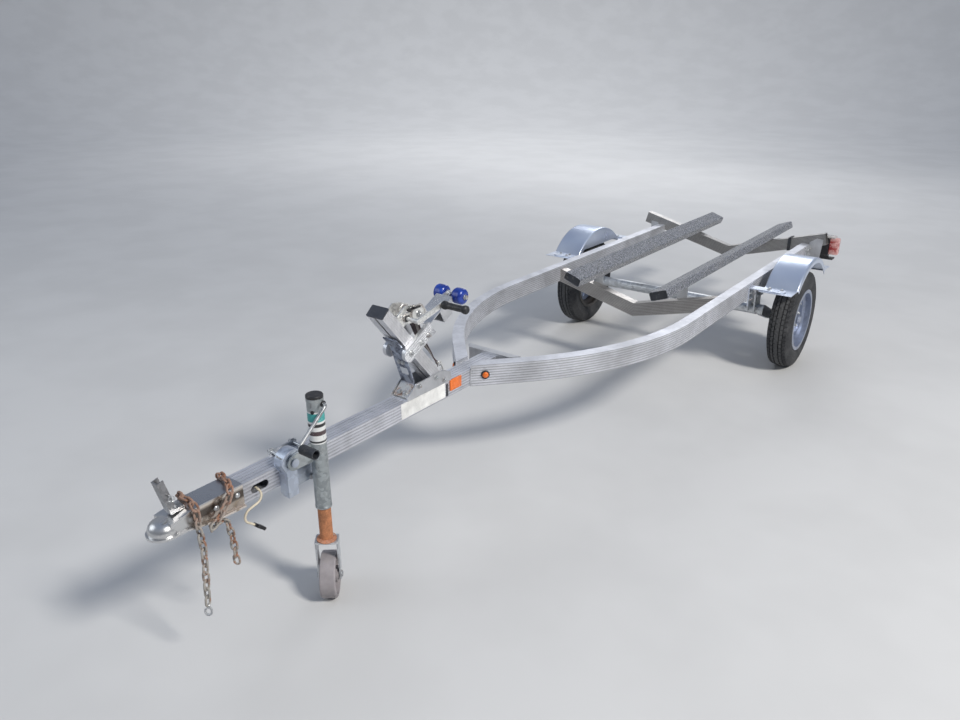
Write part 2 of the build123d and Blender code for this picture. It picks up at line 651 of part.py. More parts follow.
# ------------------------------------------------------------------ winch post
post_len = hypot(POST_HEAD_Y - POST_FOOT_Y, POST_HEAD_Z - TONGUE_TOP)
post_dir = (0, (POST_HEAD_Y - POST_FOOT_Y) / post_len, (POST_HEAD_Z - TONGUE_TOP) / post_len)
base_z = TONGUE_TOP + 5.0

with BuildPart() as winch_post:
    with BuildSketch(along(0, POST_FOOT_Y, TONGUE_TOP, post_dir).offset(-60.0)):
        Rectangle(POST_W, POST_D)
        Rectangle(POST_W - 7.0, POST_D - 7.0, mode=Mode.SUBTRACT)
        with Locations((0, -POST_D / 2)):
            Rectangle(9.0, 9.0, mode=Mode.SUBTRACT)
        with GridLocations(POST_W, 9.0, 2, 4):
            Rectangle(2.0, 1.6, mode=Mode.SUBTRACT)
    extrude(amount=post_len + 60.0)
    split(bisect_by=Plane.XY.offset(base_z), keep=Keep.TOP)
pieces["winch_post"] = winch_post

with BuildPart() as post_cap:
    with BuildSketch(along(0, POST_HEAD_Y, POST_HEAD_Z, post_dir)):
        RectangleRounded(POST_W + 2.0, POST_D + 2.0, 4.0)
    extrude(amount=5.0)
pieces["post_cap"] = post_cap

# saddle on the tongue, a bottom plate between two cheeks
with BuildPart() as post_saddle:
    with BuildSketch(side(-POST_W / 2 - 5.0)):
        with Locations((-2347.5, TONGUE_TOP + 2.5)):
            Rectangle(237.0, 5.0)
    extrude(amount=POST_W + 10.0)
    for x in (-POST_W / 2 - 5.0, POST_W / 2):
        with BuildSketch(side(x)):
            with BuildLine():
                Polyline((-2466, TONGUE_TOP), (-2466, 521), (-2417, 557), (-2270, 562), (-2229, 541),
                         (-2229, TONGUE_TOP), close=True)
            make_face()
        extrude(amount=5.0)
pieces["post_saddle"] = post_saddle

# bent strut from the saddle's toe up to the post's front face
with BuildPart() as post_strut:
    with BuildSketch(side(-30.5)):
        with BuildLine():
            Polyline((-2462, 516), (-2417.6, 554), (-2468.8, 698.7), (-2500.9, 737.5),
                     (-2497.8, 740.1), (-2464.8, 700), (-2413, 553), (-2459, 513.2), close=True)
        make_face()
    extrude(amount=61.0)
    with BuildSketch(Plane(origin=(0, at(-2500), 0), x_dir=(1, 0, 0), z_dir=(0, -1, 0))):
        with Locations((0, 603.0)):
            Rectangle(38.0, 30.0)
    extrude(amount=-100.0, mode=Mode.SUBTRACT)
pieces["post_strut"] = post_strut

arm_dir = (0, cos(radians(ARM_SLOPE)), sin(radians(ARM_SLOPE)))
arm_foot = (-2463.0, 678.0)
with BuildPart() as bow_arm_left:
    with BuildSketch(side(ARM_X)):
        with BuildLine():
            p = [(arm_foot[0] + a * arm_dir[1] - b * arm_dir[2], arm_foot[1] + a * arm_dir[2] + b * arm_dir[1])
                 for a, b in ((0, -26.5), (147, -26.5), (140, 26.5), (0, 26.5))]
            Polyline(*p)
            nose = (arm_foot[0] - 18 * arm_dir[1], arm_foot[1] - 18 * arm_dir[2])
            ThreePointArc(p[3], nose, p[0])
        make_face()
    extrude(amount=15.0)
    for b in (-18, -9, 0, 9, 18):
        start = (arm_foot[0] - 40 * arm_dir[1] - b * arm_dir[2], arm_foot[1] - 40 * arm_dir[2] + b * arm_dir[1])
        with BuildSketch(side(51.0)):
            with Locations(Location((start[0] + 110 * arm_dir[1], start[1] + 110 * arm_dir[2]), ARM_SLOPE)):
                Rectangle(240.0, 2.0)
        extrude(amount=-1.2, mode=Mode.SUBTRACT)
pieces["bow_arm_left"] = bow_arm_left

with BuildPart() as bow_arm_right:
    mirror(bow_arm_left.part, about=Plane.YZ)
pieces["bow_arm_right"] = bow_arm_right

# bolts that clamp the two arms to the post
with BuildPart() as arm_bolts:
    for a, b in ((14.0, 0.0), (72.0, -6.0)):
        with BuildSketch(side(-56.0)):
            with Locations((arm_foot[0] + a * arm_dir[1] - b * arm_dir[2],
                            arm_foot[1] + a * arm_dir[2] + b * arm_dir[1])):
                RegularPolygon(8.0, 6)
        extrude(amount=5.0)
    mirror(about=Plane.YZ)
pieces["arm_bolts"] = arm_bolts

# box that carries the bow rollers between the arms
beam_top = (-2208.0, 823.0)
with BuildPart() as bow_beam:
    frame_plane = Plane(origin=(0, at(beam_top[0]), beam_top[1]), x_dir=(1, 0, 0),
                        z_dir=(0, -arm_dir[1], -arm_dir[2]))
    with BuildSketch(frame_plane.offset(-40.0)):
        with Locations((0, -27.5)):
            Rectangle(71.6, 55.0)
            Rectangle(64.0, 47.0, mode=Mode.SUBTRACT)
        with GridLocations(8.0, 1, 7, 1):
            Rectangle(1.6, 2.4, mode=Mode.SUBTRACT)
    extrude(amount=120.0)
    split(bisect_by=Plane(origin=(0, at(beam_top[0] - 2.0), 0), z_dir=(0, 1, 0)), keep=Keep.BOTTOM)
    # top plate on forward between the arms
    with BuildSketch(frame_plane.offset(80.0)):
        with Locations((0, -2.0)):
            Rectangle(71.6, 4.0)
    extrude(amount=70.0)
    # end plate and the two ears that hold the roller bolt
    with BuildSketch(Plane(origin=(0, at(beam_top[0] - 2.0), 794.0), x_dir=(1, 0, 0), z_dir=(0, -1, 0))):
        Rectangle(68.0, 50.0)
    extrude(amount=4.0)
    for x in (-15.0, 10.0):
        with BuildSketch(side(x)):
            with BuildLine():
                Polyline((-2212, 818), (-2212, 778), (-2196, 785), (-2163, 806), (-2161, 822),
                         (-2172, 830), close=True)
            make_face()
        extrude(amount=5.0)
    with BuildSketch(side(-20.0)):
        with Locations((ROLLER_Y, ROLLER_Z)):
            Circle(BOW_BOLT_R)
    extrude(amount=40.0, mode=Mode.SUBTRACT)
pieces["bow_beam"] = bow_beam

with BuildPart() as bow_bolt:
    with BuildSketch(side(-68.0)):
        with Locations((ROLLER_Y, ROLLER_Z)):
            Circle(BOW_BOLT_R)
    extrude(amount=140.0)
    for x in (-72.0, 72.0):
        with BuildSketch(side(x)):
            with Locations((ROLLER_Y, ROLLER_Z)):
                Circle(12.0)
        extrude(amount=8.0)
pieces["bow_bolt"] = bow_bolt

with BuildPart() as bow_roller_left:
    with BuildSketch(side(ROLLER_X - ROLLER_W / 2)):
        with Locations((ROLLER_Y, ROLLER_Z)):
            Circle(ROLLER_R)
    extrude(amount=ROLLER_W)
    fillet(bow_roller_left.edges().filter_by(GeomType.CIRCLE), radius=13.0)
    with BuildSketch(side(0)):
        with Locations((ROLLER_Y, ROLLER_Z)):
            Circle(BOW_BOLT_R + 0.06)
    extrude(amount=100.0, mode=Mode.SUBTRACT)
pieces["bow_roller_left"] = bow_roller_left

with BuildPart() as bow_roller_right:
    mirror(bow_roller_left.part, about=Plane.YZ)
pieces["bow_roller_right"] = bow_roller_right

# ------------------------------------------------------------------ winch
drum = (-2392.0, 806.0)
with BuildPart() as winch_frame:
    for x in (-30.0, 26.0):
        with BuildSketch(side(x)):
            with BuildLine():
                Polyline((-2491, 818), (-2476, 830), (-2451, 847), (-2412, 841), (-2351, 815),
                         (-2321, 778), (-2394, 776), (-2444, 783), (-2459, 778), close=True)
            make_face()
        extrude(amount=4.0)
    with BuildSketch(along(0, POST_FOOT_Y, TONGUE_TOP, post_dir).offset(329.0)):
        with Locations((0, POST_D / 2 + 2.7)):
            Rectangle(60.0, 5.0)
    extrude(amount=58.0)
    # main gear, outside the left plate
    with BuildSketch(side(30.0)):
        with Locations(drum):
            Circle(33.0)
    extrude(amount=6.0)
pieces["winch_frame"] = winch_frame

with BuildPart() as winch_drum:
    for x, r, length in ((-25.7, 9.0, 51.4), (-25.7, 26.0, 2.2), (23.5, 26.0, 2.2)):
        with BuildSketch(side(x)):
            with Locations(drum):
                Circle(r)
        extrude(amount=length)
pieces["winch_drum"] = winch_drum

with BuildPart() as winch_strap:
    # webbing wound on the drum, and its run down to the hook
    with BuildSketch(side(-23.0)):
        with Locations(drum):
            Circle(22.0)
            Circle(9.0, mode=Mode.SUBTRACT)
        with BuildLine():
            Polyline((-2388, 785), (-2343, 690), (-2262, 580), (-2259.5, 581.5), (-2340.5, 691.5),
                     (-2385.5, 785), close=True)
        make_face()
    extrude(amount=46.0)
pieces["winch_strap"] = winch_strap

with BuildPart() as winch_crank:
    with BuildSketch(side(30.0)):
        with Locations((-2452.0, 806.0)):
            Circle(7.0)
    extrude(amount=59.0)
    with BuildSketch(side(88.0)):
        with Locations((-2452.0, 806.0), (-2331.0, 834.0)):
            Circle(10.0)
        make_hull()
    extrude(amount=5.0)
    with BuildSketch(side(93.0)):
        with Locations((-2331.0, 834.0)):
            Circle(5.0)
    extrude(amount=103.0)
pieces["winch_crank"] = winch_crank

with BuildPart() as winch_grip:
    with BuildSketch(Plane(origin=(95.0, at(-2331), 834.0), x_dir=(1, 0, 0), z_dir=(0, -1, 0))):
        with BuildLine():
            Polyline((0, 5), (0, 13), (4, 15), (12, 15), (24, 11.5), (80, 11.5), (92, 15),
                     (100, 14.5), (104, 11), (104, 0), (101, 0), (101, 5), close=True)
        make_face()
    revolve(axis=Axis((95.0, at(-2331), 834.0), (1, 0, 0)), revolution_arc=360)
pieces["winch_grip"] = winch_grip

with BuildPart() as strap_hook:
    with BuildSketch(side(-5.0)):
        with Locations((-2237.0, 546.0)):
            SlotOverall(64.0, 26.0, rotation=-60)
            SlotOverall(46.0, 10.0, rotation=-60, mode=Mode.SUBTRACT)
    extrude(amount=8.0)
pieces["strap_hook"] = strap_hook

# ------------------------------------------------------------------ safety chains
# plain run of each chain: x, y, z of the points that it hangs through
CHAINS = {
    "safety_chain_left": ((-48, -3262, 476), (-52, -3280, 500), (-42, -3296, 519), (-16, -3298, 522),
                          (20, -3299, 521), (48, -3305, 518), (57, -3308, 494), (54, -3308, 462),
                          (51, -3304, 430), (49, -3300, 392), (48, -3302, 340), (47, -3306, 285),
                          (46, -3311, 215), (46, -3314, 152)),
    "safety_chain_right": ((-48, -3156, 476), (-52, -3160, 500), (-42, -3166, 521), (-16, -3172, 524),
                           (14, -3180, 523), (46, -3194, 521), (58, -3209, 502), (57, -3228, 477),
                           (58, -3248, 456), (58, -3268, 441), (38, -3266, 428), (20, -3232, 425),
                           (11, -3200, 413), (8, -3188, 377), (6, -3181, 323), (5, -3178, 245)),
}
for name, route in CHAINS.items():
    points = [Vector(x, at(y), z) for x, y, z in route]
    runs = [(b - a) for a, b in zip(points, points[1:])]
    radii = [0.45 * min(u.length, v.length) / tan(radians(u.get_angle(v)) / 2) for u, v in zip(runs, runs[1:])]
    print(name, "radii", [round(r) for r in radii])
    with BuildPart() as chain:
        with BuildLine() as line:
            FilletPolyline(*points, radius=radii)
        with BuildSketch(Plane(origin=line.wire() @ 0, z_dir=line.wire() % 0)):
            Circle(5.0)
        sweep()
    print(name, "length", round(line.wire().length), round(chain.part.volume / (25 * 3.14159265)))
    pieces[name] = chain

# ------------------------------------------------------------------ wiring lead
# flat four-core lead out of the tongue's oblong hole, round in a loop to its plug
LEAD_R = 3.5
LEAD = ((31, -3104, 475), (48, -3104, 474), (64, -3109, 466), (72, -3124, 455), (71, -3145, 450),
        (66, -3164, 441), (61, -3172, 421), (57, -3165, 401), (55, -3149, 388), (54, -3134, 374))
points = [Vector(x, at(y), z) for x, y, z in LEAD]
runs = [(b - a) for a, b in zip(points, points[1:])]
radii = [0.45 * min(u.length, v.length) / tan(radians(u.get_angle(v)) / 2) for u, v in zip(runs, runs[1:])]
print("lead radii", [round(r) for r in radii], "runs", [round(u.length) for u in runs],
      "turns", [round(u.get_angle(v)) for u, v in zip(runs, runs[1:])])
with BuildPart() as wiring_cable:
    with BuildLine() as line:
        FilletPolyline(*points, radius=radii)
    with BuildSketch(Plane(origin=line.wire() @ 0, z_dir=line.wire() % 0)):
        Circle(LEAD_R)
    sweep()
print("lead length", round(line.wire().length), round(wiring_cable.part.volume / (LEAD_R ** 2 * 3.14159265)))
pieces["wiring_cable"] = wiring_cable

with BuildPart() as wiring_plug:
    with BuildSketch(Plane(origin=points[-1], x_dir=(1, 0, 0), z_dir=runs[-1].normalized())):
        RectangleRounded(22.0, 10.0, 2.0)
    extrude(amount=34.0)
    for x in (-7.5, -2.5, 2.5, 7.5):
        with BuildSketch(Plane(origin=points[-1], x_dir=(1, 0, 0), z_dir=runs[-1].normalized()).offset(34.0)):
            with Locations((x, 0)):
                Circle(1.8)
        extrude(amount=10.0)
pieces["wiring_plug"] = wiring_plug

# ------------------------------------------------------------------ write
os.makedirs("parts", exist_ok=True)
for name, piece in pieces.items():
    piece.part.label = name
    export_step(piece.part, f"parts/{name}.step")
print(len(pieces), "pieces")
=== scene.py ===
import math

import bmesh
import bpy
from mathutils import Matrix, Vector, noise


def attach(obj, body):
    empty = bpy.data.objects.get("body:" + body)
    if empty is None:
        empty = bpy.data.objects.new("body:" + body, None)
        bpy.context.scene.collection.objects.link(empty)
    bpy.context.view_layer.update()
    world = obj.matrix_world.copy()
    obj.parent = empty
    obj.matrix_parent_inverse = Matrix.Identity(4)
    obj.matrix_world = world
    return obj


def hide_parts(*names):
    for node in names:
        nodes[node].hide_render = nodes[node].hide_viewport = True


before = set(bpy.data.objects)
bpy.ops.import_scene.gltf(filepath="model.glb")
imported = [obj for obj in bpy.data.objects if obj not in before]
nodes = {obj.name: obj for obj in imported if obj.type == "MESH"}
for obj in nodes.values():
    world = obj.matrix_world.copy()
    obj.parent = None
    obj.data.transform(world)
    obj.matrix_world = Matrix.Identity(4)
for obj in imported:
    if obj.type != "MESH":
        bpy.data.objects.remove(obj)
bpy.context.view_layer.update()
AXLE = 1143.0


def P(x, y, z):
    """Millimetres, y measured back from the wheels' axis, to metres in the frame."""
    return Vector((x / 1000.0, (AXLE + y) / 1000.0, z / 1000.0))


# ---------------------------------------------------------------- camera
cam = bpy.data.objects.new("camera", bpy.data.cameras.new("camera"))
bpy.context.scene.collection.objects.link(cam)
cam.data.sensor_width, cam.data.sensor_fit, cam.data.lens = 36.0, "HORIZONTAL", 28.69
azimuth, pitch = math.radians(36.835), math.radians(21.818)
ahead = Vector((-math.sin(azimuth) * math.cos(pitch), math.cos(azimuth) * math.cos(pitch), -math.sin(pitch)))
cam.location = (1.6725, -3.0875, 1.6202)
right = ahead.cross(Vector((0, 0, 1))).normalized()
cam.rotation_euler = Matrix((right, right.cross(ahead), -ahead)).transposed().to_euler()
cam.data.clip_end = 200.0
bpy.context.scene.camera = cam


# ---------------------------------------------------------------- materials
class Skin:
    """A node material. Number and colour inputs take a value or a socket."""

    def __init__(self, name, **inputs):
        self.m = bpy.data.materials.new(name)
        self.m.use_nodes = True
        self.t = self.m.node_tree
        self.b = self.t.nodes["Principled BSDF"]
        for key, value in inputs.items():
            self.put(self.b.inputs[key.replace("_", " ")], value)
        self.tex = self.t.nodes.new("ShaderNodeTexCoord")
        self.co = self.tex.outputs["Object"]
        self.uv = self.tex.outputs["UV"]

    def put(self, socket, value):
        if isinstance(value, bpy.types.NodeSocket):
            self.t.links.new(value, socket)
        elif isinstance(value, (tuple, list)) and socket.type == "RGBA" and len(value) == 3:
            socket.default_value = (*value, 1.0)
        else:
            socket.default_value = value

    def node(self, kind, **inputs):
        n = self.t.nodes.new(kind)
        for key, value in inputs.items():
            self.put(n.inputs[key.replace("_", " ")], value)
        return n

    def set(self, **inputs):
        for key, value in inputs.items():
            self.put(self.b.inputs[key.replace("_", " ")], value)
        return self

    def map(self, scale=(1, 1, 1), turn=(0, 0, 0), vec=None):
        return self.node("ShaderNodeMapping", Vector=vec or self.co, Scale=scale, Rotation=turn).outputs[0]

    def noise(self, scale, detail=4.0, rough=0.55, vec=None, distort=0.0):
        return self.node("ShaderNodeTexNoise", Vector=vec or self.co, Scale=scale, Detail=detail,
                         Roughness=rough, Distortion=distort).outputs[0]

    def cells(self, scale, vec=None, out="Color"):
        return self.node("ShaderNodeTexVoronoi", Vector=vec or self.co, Scale=scale).outputs[out]

    def range(self, value, a, b, c=0.0, d=1.0):
        n = self.node("ShaderNodeMapRange", Value=value)
        for i, x in zip((1, 2, 3, 4), (a, b, c, d)):
            n.inputs[i].default_value = x
        return n.outputs[0]

    def mix(self, factor, a, b, how="MIX"):
        n = self.t.nodes.new("ShaderNodeMix")
        n.data_type, n.blend_type = "RGBA", how
        for i, x in ((0, factor), (6, a), (7, b)):
            self.put(n.inputs[i], x)
        return n.outputs[2]

    def math(self, how, a, b=0.0):
        n = self.t.nodes.new("ShaderNodeMath")
        n.operation = how
        self.put(n.inputs[0], a), self.put(n.inputs[1], b)
        return n.outputs[0]

    def ramp(self, factor, *stops):
        n = self.node("ShaderNodeValToRGB", Fac=factor)
        while len(n.color_ramp.elements) < len(stops):
            n.color_ramp.elements.new(0.5)
        for e, (at, colour) in zip(n.color_ramp.elements, stops):
            e.position, e.color = at, (*colour, 1.0)
        return n.outputs[0]

    def axis(self, i, vec=None):
        return self.node("ShaderNodeSeparateXYZ", Vector=vec or self.co).outputs[i]

    def bump(self, height, strength=0.3, distance=0.001):
        return self.set(Normal=self.node("ShaderNodeBump", Height=height, Strength=strength,
                                         Distance=distance).outputs[0])


def ribs(s, height, middle, pitch, half=False):
    """1 in an extrusion's grooves and 0 on its lands, on upright faces only."""
    steps = s.math("ADD", s.math("DIVIDE", s.math("SUBTRACT", height, middle), pitch), 100.0 if half else 100.5)
    near = s.math("ABSOLUTE", s.math("SUBTRACT", s.math("FRACT", steps), 0.5))
    upright = s.range(s.math("ABSOLUTE", s.axis(2, s.tex.outputs["Normal"])), 0.75, 0.45)
    return s.math("MULTIPLY", s.range(near, 0.30, 0.10), upright)


def aluminium(name, grain, tint=(0.70, 0.71, 0.74), dirt=0.45, turn=(0, 0, 0), rough=(0.30, 0.50), groove=None,
              groove_shade_amount=0.45):
    """Mill-finish extrusion: fine lines along the member, cloudy oxide, road dust, and painted shade in the grooves."""
    s = Skin(name, Metallic=0.82)
    lines = s.noise(1.0, 5.0, 0.6, s.map(grain, turn))
    cloud = s.noise(7.0, 5.0, 0.6, distort=0.4)
    light = tuple(min(1.0, 1.10 * c) for c in tint)
    dark = tuple(0.80 * c for c in tint)
    col = s.mix(s.range(cloud, 0.35, 0.68), dark, light)
    col = s.mix(0.35, col, s.ramp(lines, (0.25, (0.55, 0.55, 0.57)), (0.75, (1, 1, 1))), "MULTIPLY")
    if groove:
        middle, pitch, slope, half = groove
        height = s.axis(2)
        if slope:
            height = s.math("SUBTRACT", height, s.math("MULTIPLY", s.math("ABSOLUTE", s.axis(0)), slope))
        # painted shade: the grooves' colour is darkened
        groove_shade = ribs(s, height, middle, pitch, half)
        col = s.mix(s.math("MULTIPLY", groove_shade, groove_shade_amount), col, tuple(0.30 * c for c in tint))
    spots = s.range(s.noise(34.0, 8.0, 0.7), 0.60, 0.74)
    low = s.range(s.axis(2), 0.56, 0.30, 0.25, 1.0)
    dust = s.math("MULTIPLY", s.math("MULTIPLY", spots, low), dirt)
    s.set(Base_Color=s.mix(dust, col, (0.33, 0.28, 0.22)))
    s.set(Roughness=s.math("ADD", s.range(lines, 0.3, 0.7, rough[0], rough[1]), s.math("MULTIPLY", dust, 0.35)))
    return s.bump(lines, 0.10, 0.0006).m


def galvanised(name, tint=(0.56, 0.58, 0.60), scale=55.0, rust=0.0, rough=(0.32, 0.52), inside=0.0, spread=0.22):
    """Zinc-dipped steel with its spangle, white bloom and a little rust; with inside set, painted shade on the barrel
    behind the disc.
    """
    s = Skin(name, Metallic=0.80)
    spangle = s.node("ShaderNodeRGBToBW", Color=s.cells(scale)).outputs[0]
    cloud = s.noise(14.0, 6.0, 0.6)
    col = s.mix(s.range(spangle, 0.1, 0.9), tuple((1 - spread) * c for c in tint), tuple(min(1, (1 + spread) * c) for c in tint))
    col = s.mix(s.range(cloud, 0.52, 0.72, 0.0, 0.55), col, (0.66, 0.67, 0.66))
    red = s.range(s.noise(26.0, 8.0, 0.75), 0.66 - 0.22 * rust, 0.80 - 0.18 * rust, 0.0, min(1.0, 0.5 + rust))
    col = s.mix(red, col, s.ramp(s.noise(60.0, 6.0), (0.3, (0.16, 0.06, 0.03)), (0.7, (0.42, 0.19, 0.09))))
    if inside:
        # painted shade: the barrel behind the disc is near black and barely metallic
        barrel_shade = s.range(s.math("ABSOLUTE", s.axis(0)), inside, inside - 0.003)
        col = s.mix(barrel_shade, col, (0.030, 0.026, 0.023))
        s.set(Metallic=s.range(barrel_shade, 0.0, 1.0, 0.80, 0.05))
    s.set(Base_Color=col)
    s.set(Roughness=s.math("ADD", s.range(spangle, 0, 1, rough[0], rough[1]), s.math("MULTIPLY", red, 0.35)))
    return s.bump(s.noise(260.0, 3.0), 0.10, 0.0005).m


def rust(name, orange=(0.45, 0.19, 0.08), grey=0.0):
    s = Skin(name, Metallic=0.15)
    a, b = s.noise(22.0, 8.0, 0.7, distort=0.5), s.noise(140.0, 6.0, 0.7)
    col = s.ramp(a, (0.28, tuple(0.35 * c for c in orange)), (0.50, orange), (0.74, tuple(min(1, 1.55 * c) for c in orange)))
    col = s.mix(s.range(b, 0.35, 0.70, 0.0, 0.45), col, tuple(0.30 * c for c in orange))
    if grey:
        worn = s.range(s.noise(38.0, 6.0, 0.65), 0.62 - 0.3 * grey, 0.74 - 0.3 * grey)
        if grey >= 0.5:
            worn = s.math("MULTIPLY", worn, s.range(s.axis(2), 0.515, 0.45, 0.30, 1.0))
        col = s.mix(worn, col, (0.36, 0.34, 0.31))
    s.set(Base_Color=col, Roughness=s.range(a, 0.3, 0.7, 0.62, 0.92))
    return s.bump(b, 0.45, 0.0012).m


def plastic(name, colour, rough=0.42, dust=0.25, grain=420.0, coat=0.0, metal=0.0):
    s = Skin(name, Metallic=metal, Coat_Weight=coat, Coat_Roughness=0.2)
    cloud = s.noise(16.0, 6.0, 0.6)
    col = s.mix(s.range(cloud, 0.35, 0.7), tuple(0.80 * c for c in colour), tuple(min(1, 1.25 * c) for c in colour))
    grey = s.range(s.noise(45.0, 8.0, 0.75), 0.52, 0.78, 0.0, dust)
    s.set(Base_Color=s.mix(grey, col, (0.36, 0.33, 0.29)))
    s.set(Roughness=s.range(cloud, 0.3, 0.7, rough - 0.08, rough + 0.14))
    return s.bump(s.noise(grain, 2.0), 0.10, 0.0004).m


alu_tongue = aluminium("alu_tongue", (170.0, 3.0, 170.0), tint=(0.77, 0.78, 0.83), rough=(0.36, 0.56), groove=(0.4755, 0.011, 0.0, False), groove_shade_amount=0.52)
alu_rail = aluminium("alu_rail", (60.0, 60.0, 260.0), tint=(0.78, 0.79, 0.83), rough=(0.50, 0.68), groove=(0.4795, 0.0105, 0.0, False), groove_shade_amount=0.60)
# cross members: a darker, browner copy of the aluminium as painted shade, with the deepest groove shade
alu_front = aluminium("alu_front_beam", (3.0, 170.0, 170.0), tint=(0.50, 0.48, 0.46), groove=(0.3565, 0.00825, 0.2516, True), groove_shade_amount=0.75)
alu_rear = aluminium("alu_rear_beam", (3.0, 170.0, 170.0), tint=(0.50, 0.49, 0.48), groove=(0.4030, 0.0083, 0.2694, True), groove_shade_amount=0.75)
alu_post = aluminium("alu_post", (170.0, 170.0, 3.0), turn=(math.radians(-39.5), 0, 0), tint=(0.80, 0.80, 0.82), rough=(0.42, 0.60), dirt=0.3)
alu_arm = aluminium("alu_arm", (170.0, 3.0, 170.0), tint=(0.76, 0.77, 0.79), turn=(math.radians(-28.0), 0, 0), dirt=0.25)
alu_plate = aluminium("alu_plate", (60.0, 60.0, 8.0), tint=(0.66, 0.67, 0.69), rough=(0.36, 0.55))
galv = galvanised("galvanised")
# jack bracket: bluish tint as painted sky reflection
galv_blue = galvanised("galvanised_blueish", tint=(0.50, 0.55, 0.64), scale=70.0, rust=0.12, spread=0.14)
galv_tube = galvanised("galvanised_tube", tint=(0.36, 0.39, 0.40), scale=95.0, rust=0.15, rough=(0.26, 0.44))
galv_rusty = galvanised("galvanised_rusty", tint=(0.60, 0.58, 0.56), rust=0.7)
# rim: a darker bluish tint as painted sky reflection, and painted shade on the barrel behind the disc
rim_zinc = galvanised("rim_zinc", tint=(0.37, 0.41, 0.51), scale=85.0, rough=(0.30, 0.42), inside=0.6455, spread=0.10)
zinc = galvanised("zinc_plate", tint=(0.80, 0.80, 0.78), scale=160.0, rust=0.06, rough=(0.34, 0.50))
latch_zinc = galvanised("latch_zinc", tint=(0.27, 0.27, 0.28), scale=120.0, rust=0.10, rough=(0.28, 0.44))
rod_zinc = galvanised("rod_zinc", tint=(0.40, 0.41, 0.42), scale=120.0, rust=0.2, rough=(0.30, 0.46))
bright = galvanised("bright_bolts", tint=(0.50, 0.51, 0.52), scale=220.0, rust=0.45, rough=(0.26, 0.44))
leg_rust = rust("leg_rust", (0.51, 0.215, 0.10))
foot_rust = rust("foot_rust", (0.49, 0.225, 0.13), grey=0.2)
chain_rust = rust("chain_rust", (0.36, 0.17, 0.10), grey=0.80)
black = plastic("black_plastic", (0.018, 0.018, 0.021))
black_dusty = plastic("black_dusty", (0.030, 0.034, 0.042), rough=0.5, dust=0.4)
cap_slate = plastic("cap_slate", (0.042, 0.047, 0.060), rough=0.45, dust=0.25)
caster_grey = plastic("caster_grey", (0.30, 0.275, 0.285), rough=0.62, dust=0.55, grain=160.0)
cream = plastic("cream_insulation", (0.62, 0.55, 0.42), rough=0.5, dust=0.35)
white_plate = plastic("white_plate", (0.80, 0.80, 0.78), rough=0.5, dust=0.30, grain=300.0)
amber = plastic("amber_reflector", (0.78, 0.16, 0.01), rough=0.22, dust=0.12, coat=0.6)

# coupler: drawn steel with yellowish zinc; painted shade in a dark band along the side, painted highlights on the top
# edge, the bottom flange and the nose, and a darker bluish painted sky reflection on the top
s = Skin("coupler_zinc", Metallic=0.92)
cloud, h = s.noise(6.0, 3.0, 0.5, distort=0.4), s.axis(2)
col = s.mix(s.range(cloud, 0.40, 0.60), (0.44, 0.37, 0.31), (0.62, 0.57, 0.52))
# painted shade: a dark band along the side
shade = s.range(s.math("ABSOLUTE", s.math("SUBTRACT", h, 0.484)), 0.016, 0.009, 0.0, 0.90)
col = s.mix(shade, col, (0.085, 0.072, 0.064))
# painted highlights: the top edge, the bottom flange and the nose
col = s.mix(s.range(h, 0.4995, 0.5015, 0.0, 0.6), col, (0.86, 0.80, 0.72))
col = s.mix(s.range(h, 0.454, 0.448, 0.0, 0.8), col, (0.88, 0.80, 0.73))
col = s.mix(s.range(s.axis(1), -2.165, -2.185), col, (0.62, 0.62, 0.62))
# painted sky reflection: the top darker and bluish
top = s.range(h, 0.506, 0.510)
col = s.mix(s.math("MULTIPLY", top, 0.75), col, (0.36, 0.40, 0.47))
red = s.range(s.noise(30.0, 8.0, 0.75), 0.60, 0.76, 0.0, 0.45)
s.set(Base_Color=s.mix(red, col, (0.30, 0.15, 0.08)), Roughness=s.math("ADD", s.range(cloud, 0.3, 0.7, 0.18, 0.34), s.math("MULTIPLY", red, 0.3)))
coupler_skin = s.bump(s.noise(90.0, 4.0), 0.06, 0.0008).m

# post's strut: mottled zinc made dark as painted shade, paler at its foot, with rust at its foot
s = Skin("strut_zinc", Metallic=0.85)
cloud = s.noise(26.0, 4.0, 0.6, distort=0.8)
# painted shade: the mottling runs much darker than the other zinc
col = s.mix(s.range(cloud, 0.42, 0.60), (0.11, 0.12, 0.16), (0.42, 0.46, 0.55))
foot = s.range(s.axis(2), 0.556, 0.548)
col = s.mix(foot, col, (0.70, 0.69, 0.66))
red = s.math("MULTIPLY", s.range(s.noise(30.0, 8.0, 0.75), 0.50, 0.60, 0.0, 0.85), foot)
s.set(Base_Color=s.mix(red, col, (0.28, 0.13, 0.07)), Roughness=s.math("ADD", s.range(cloud, 0.3, 0.7, 0.22, 0.36), s.math("MULTIPLY", red, 0.4)))
strut_zinc = s.bump(cloud, 0.15, 0.002).m

# fenders: smooth silver-grey sheet with a painted sky reflection in its blue tint, greyer towards the bottom, faint
# scuffs
s = Skin("fender_skin", Metallic=0.72, Coat_Weight=0.25, Coat_Roughness=0.18)
cloud = s.noise(4.0, 3.0, 0.45)
# painted sky reflection: the blue tint
col = s.mix(s.range(cloud, 0.35, 0.65), (0.54, 0.61, 0.76), (0.67, 0.74, 0.87))
scuff = s.range(s.noise(9.0, 9.0, 0.72), 0.60, 0.72, 0.0, 0.22)
low = s.range(s.axis(2), 0.56, 0.50, 0.0, 0.25)
s.set(Base_Color=s.mix(s.math("MAXIMUM", scuff, low), col, (0.62, 0.62, 0.60)))
s.set(Roughness=s.math("ADD", s.range(cloud, 0.3, 0.7, 0.27, 0.36), s.math("MULTIPLY", scuff, 0.5)))
fender_skin = s.bump(cloud, 0.05, 0.006).m
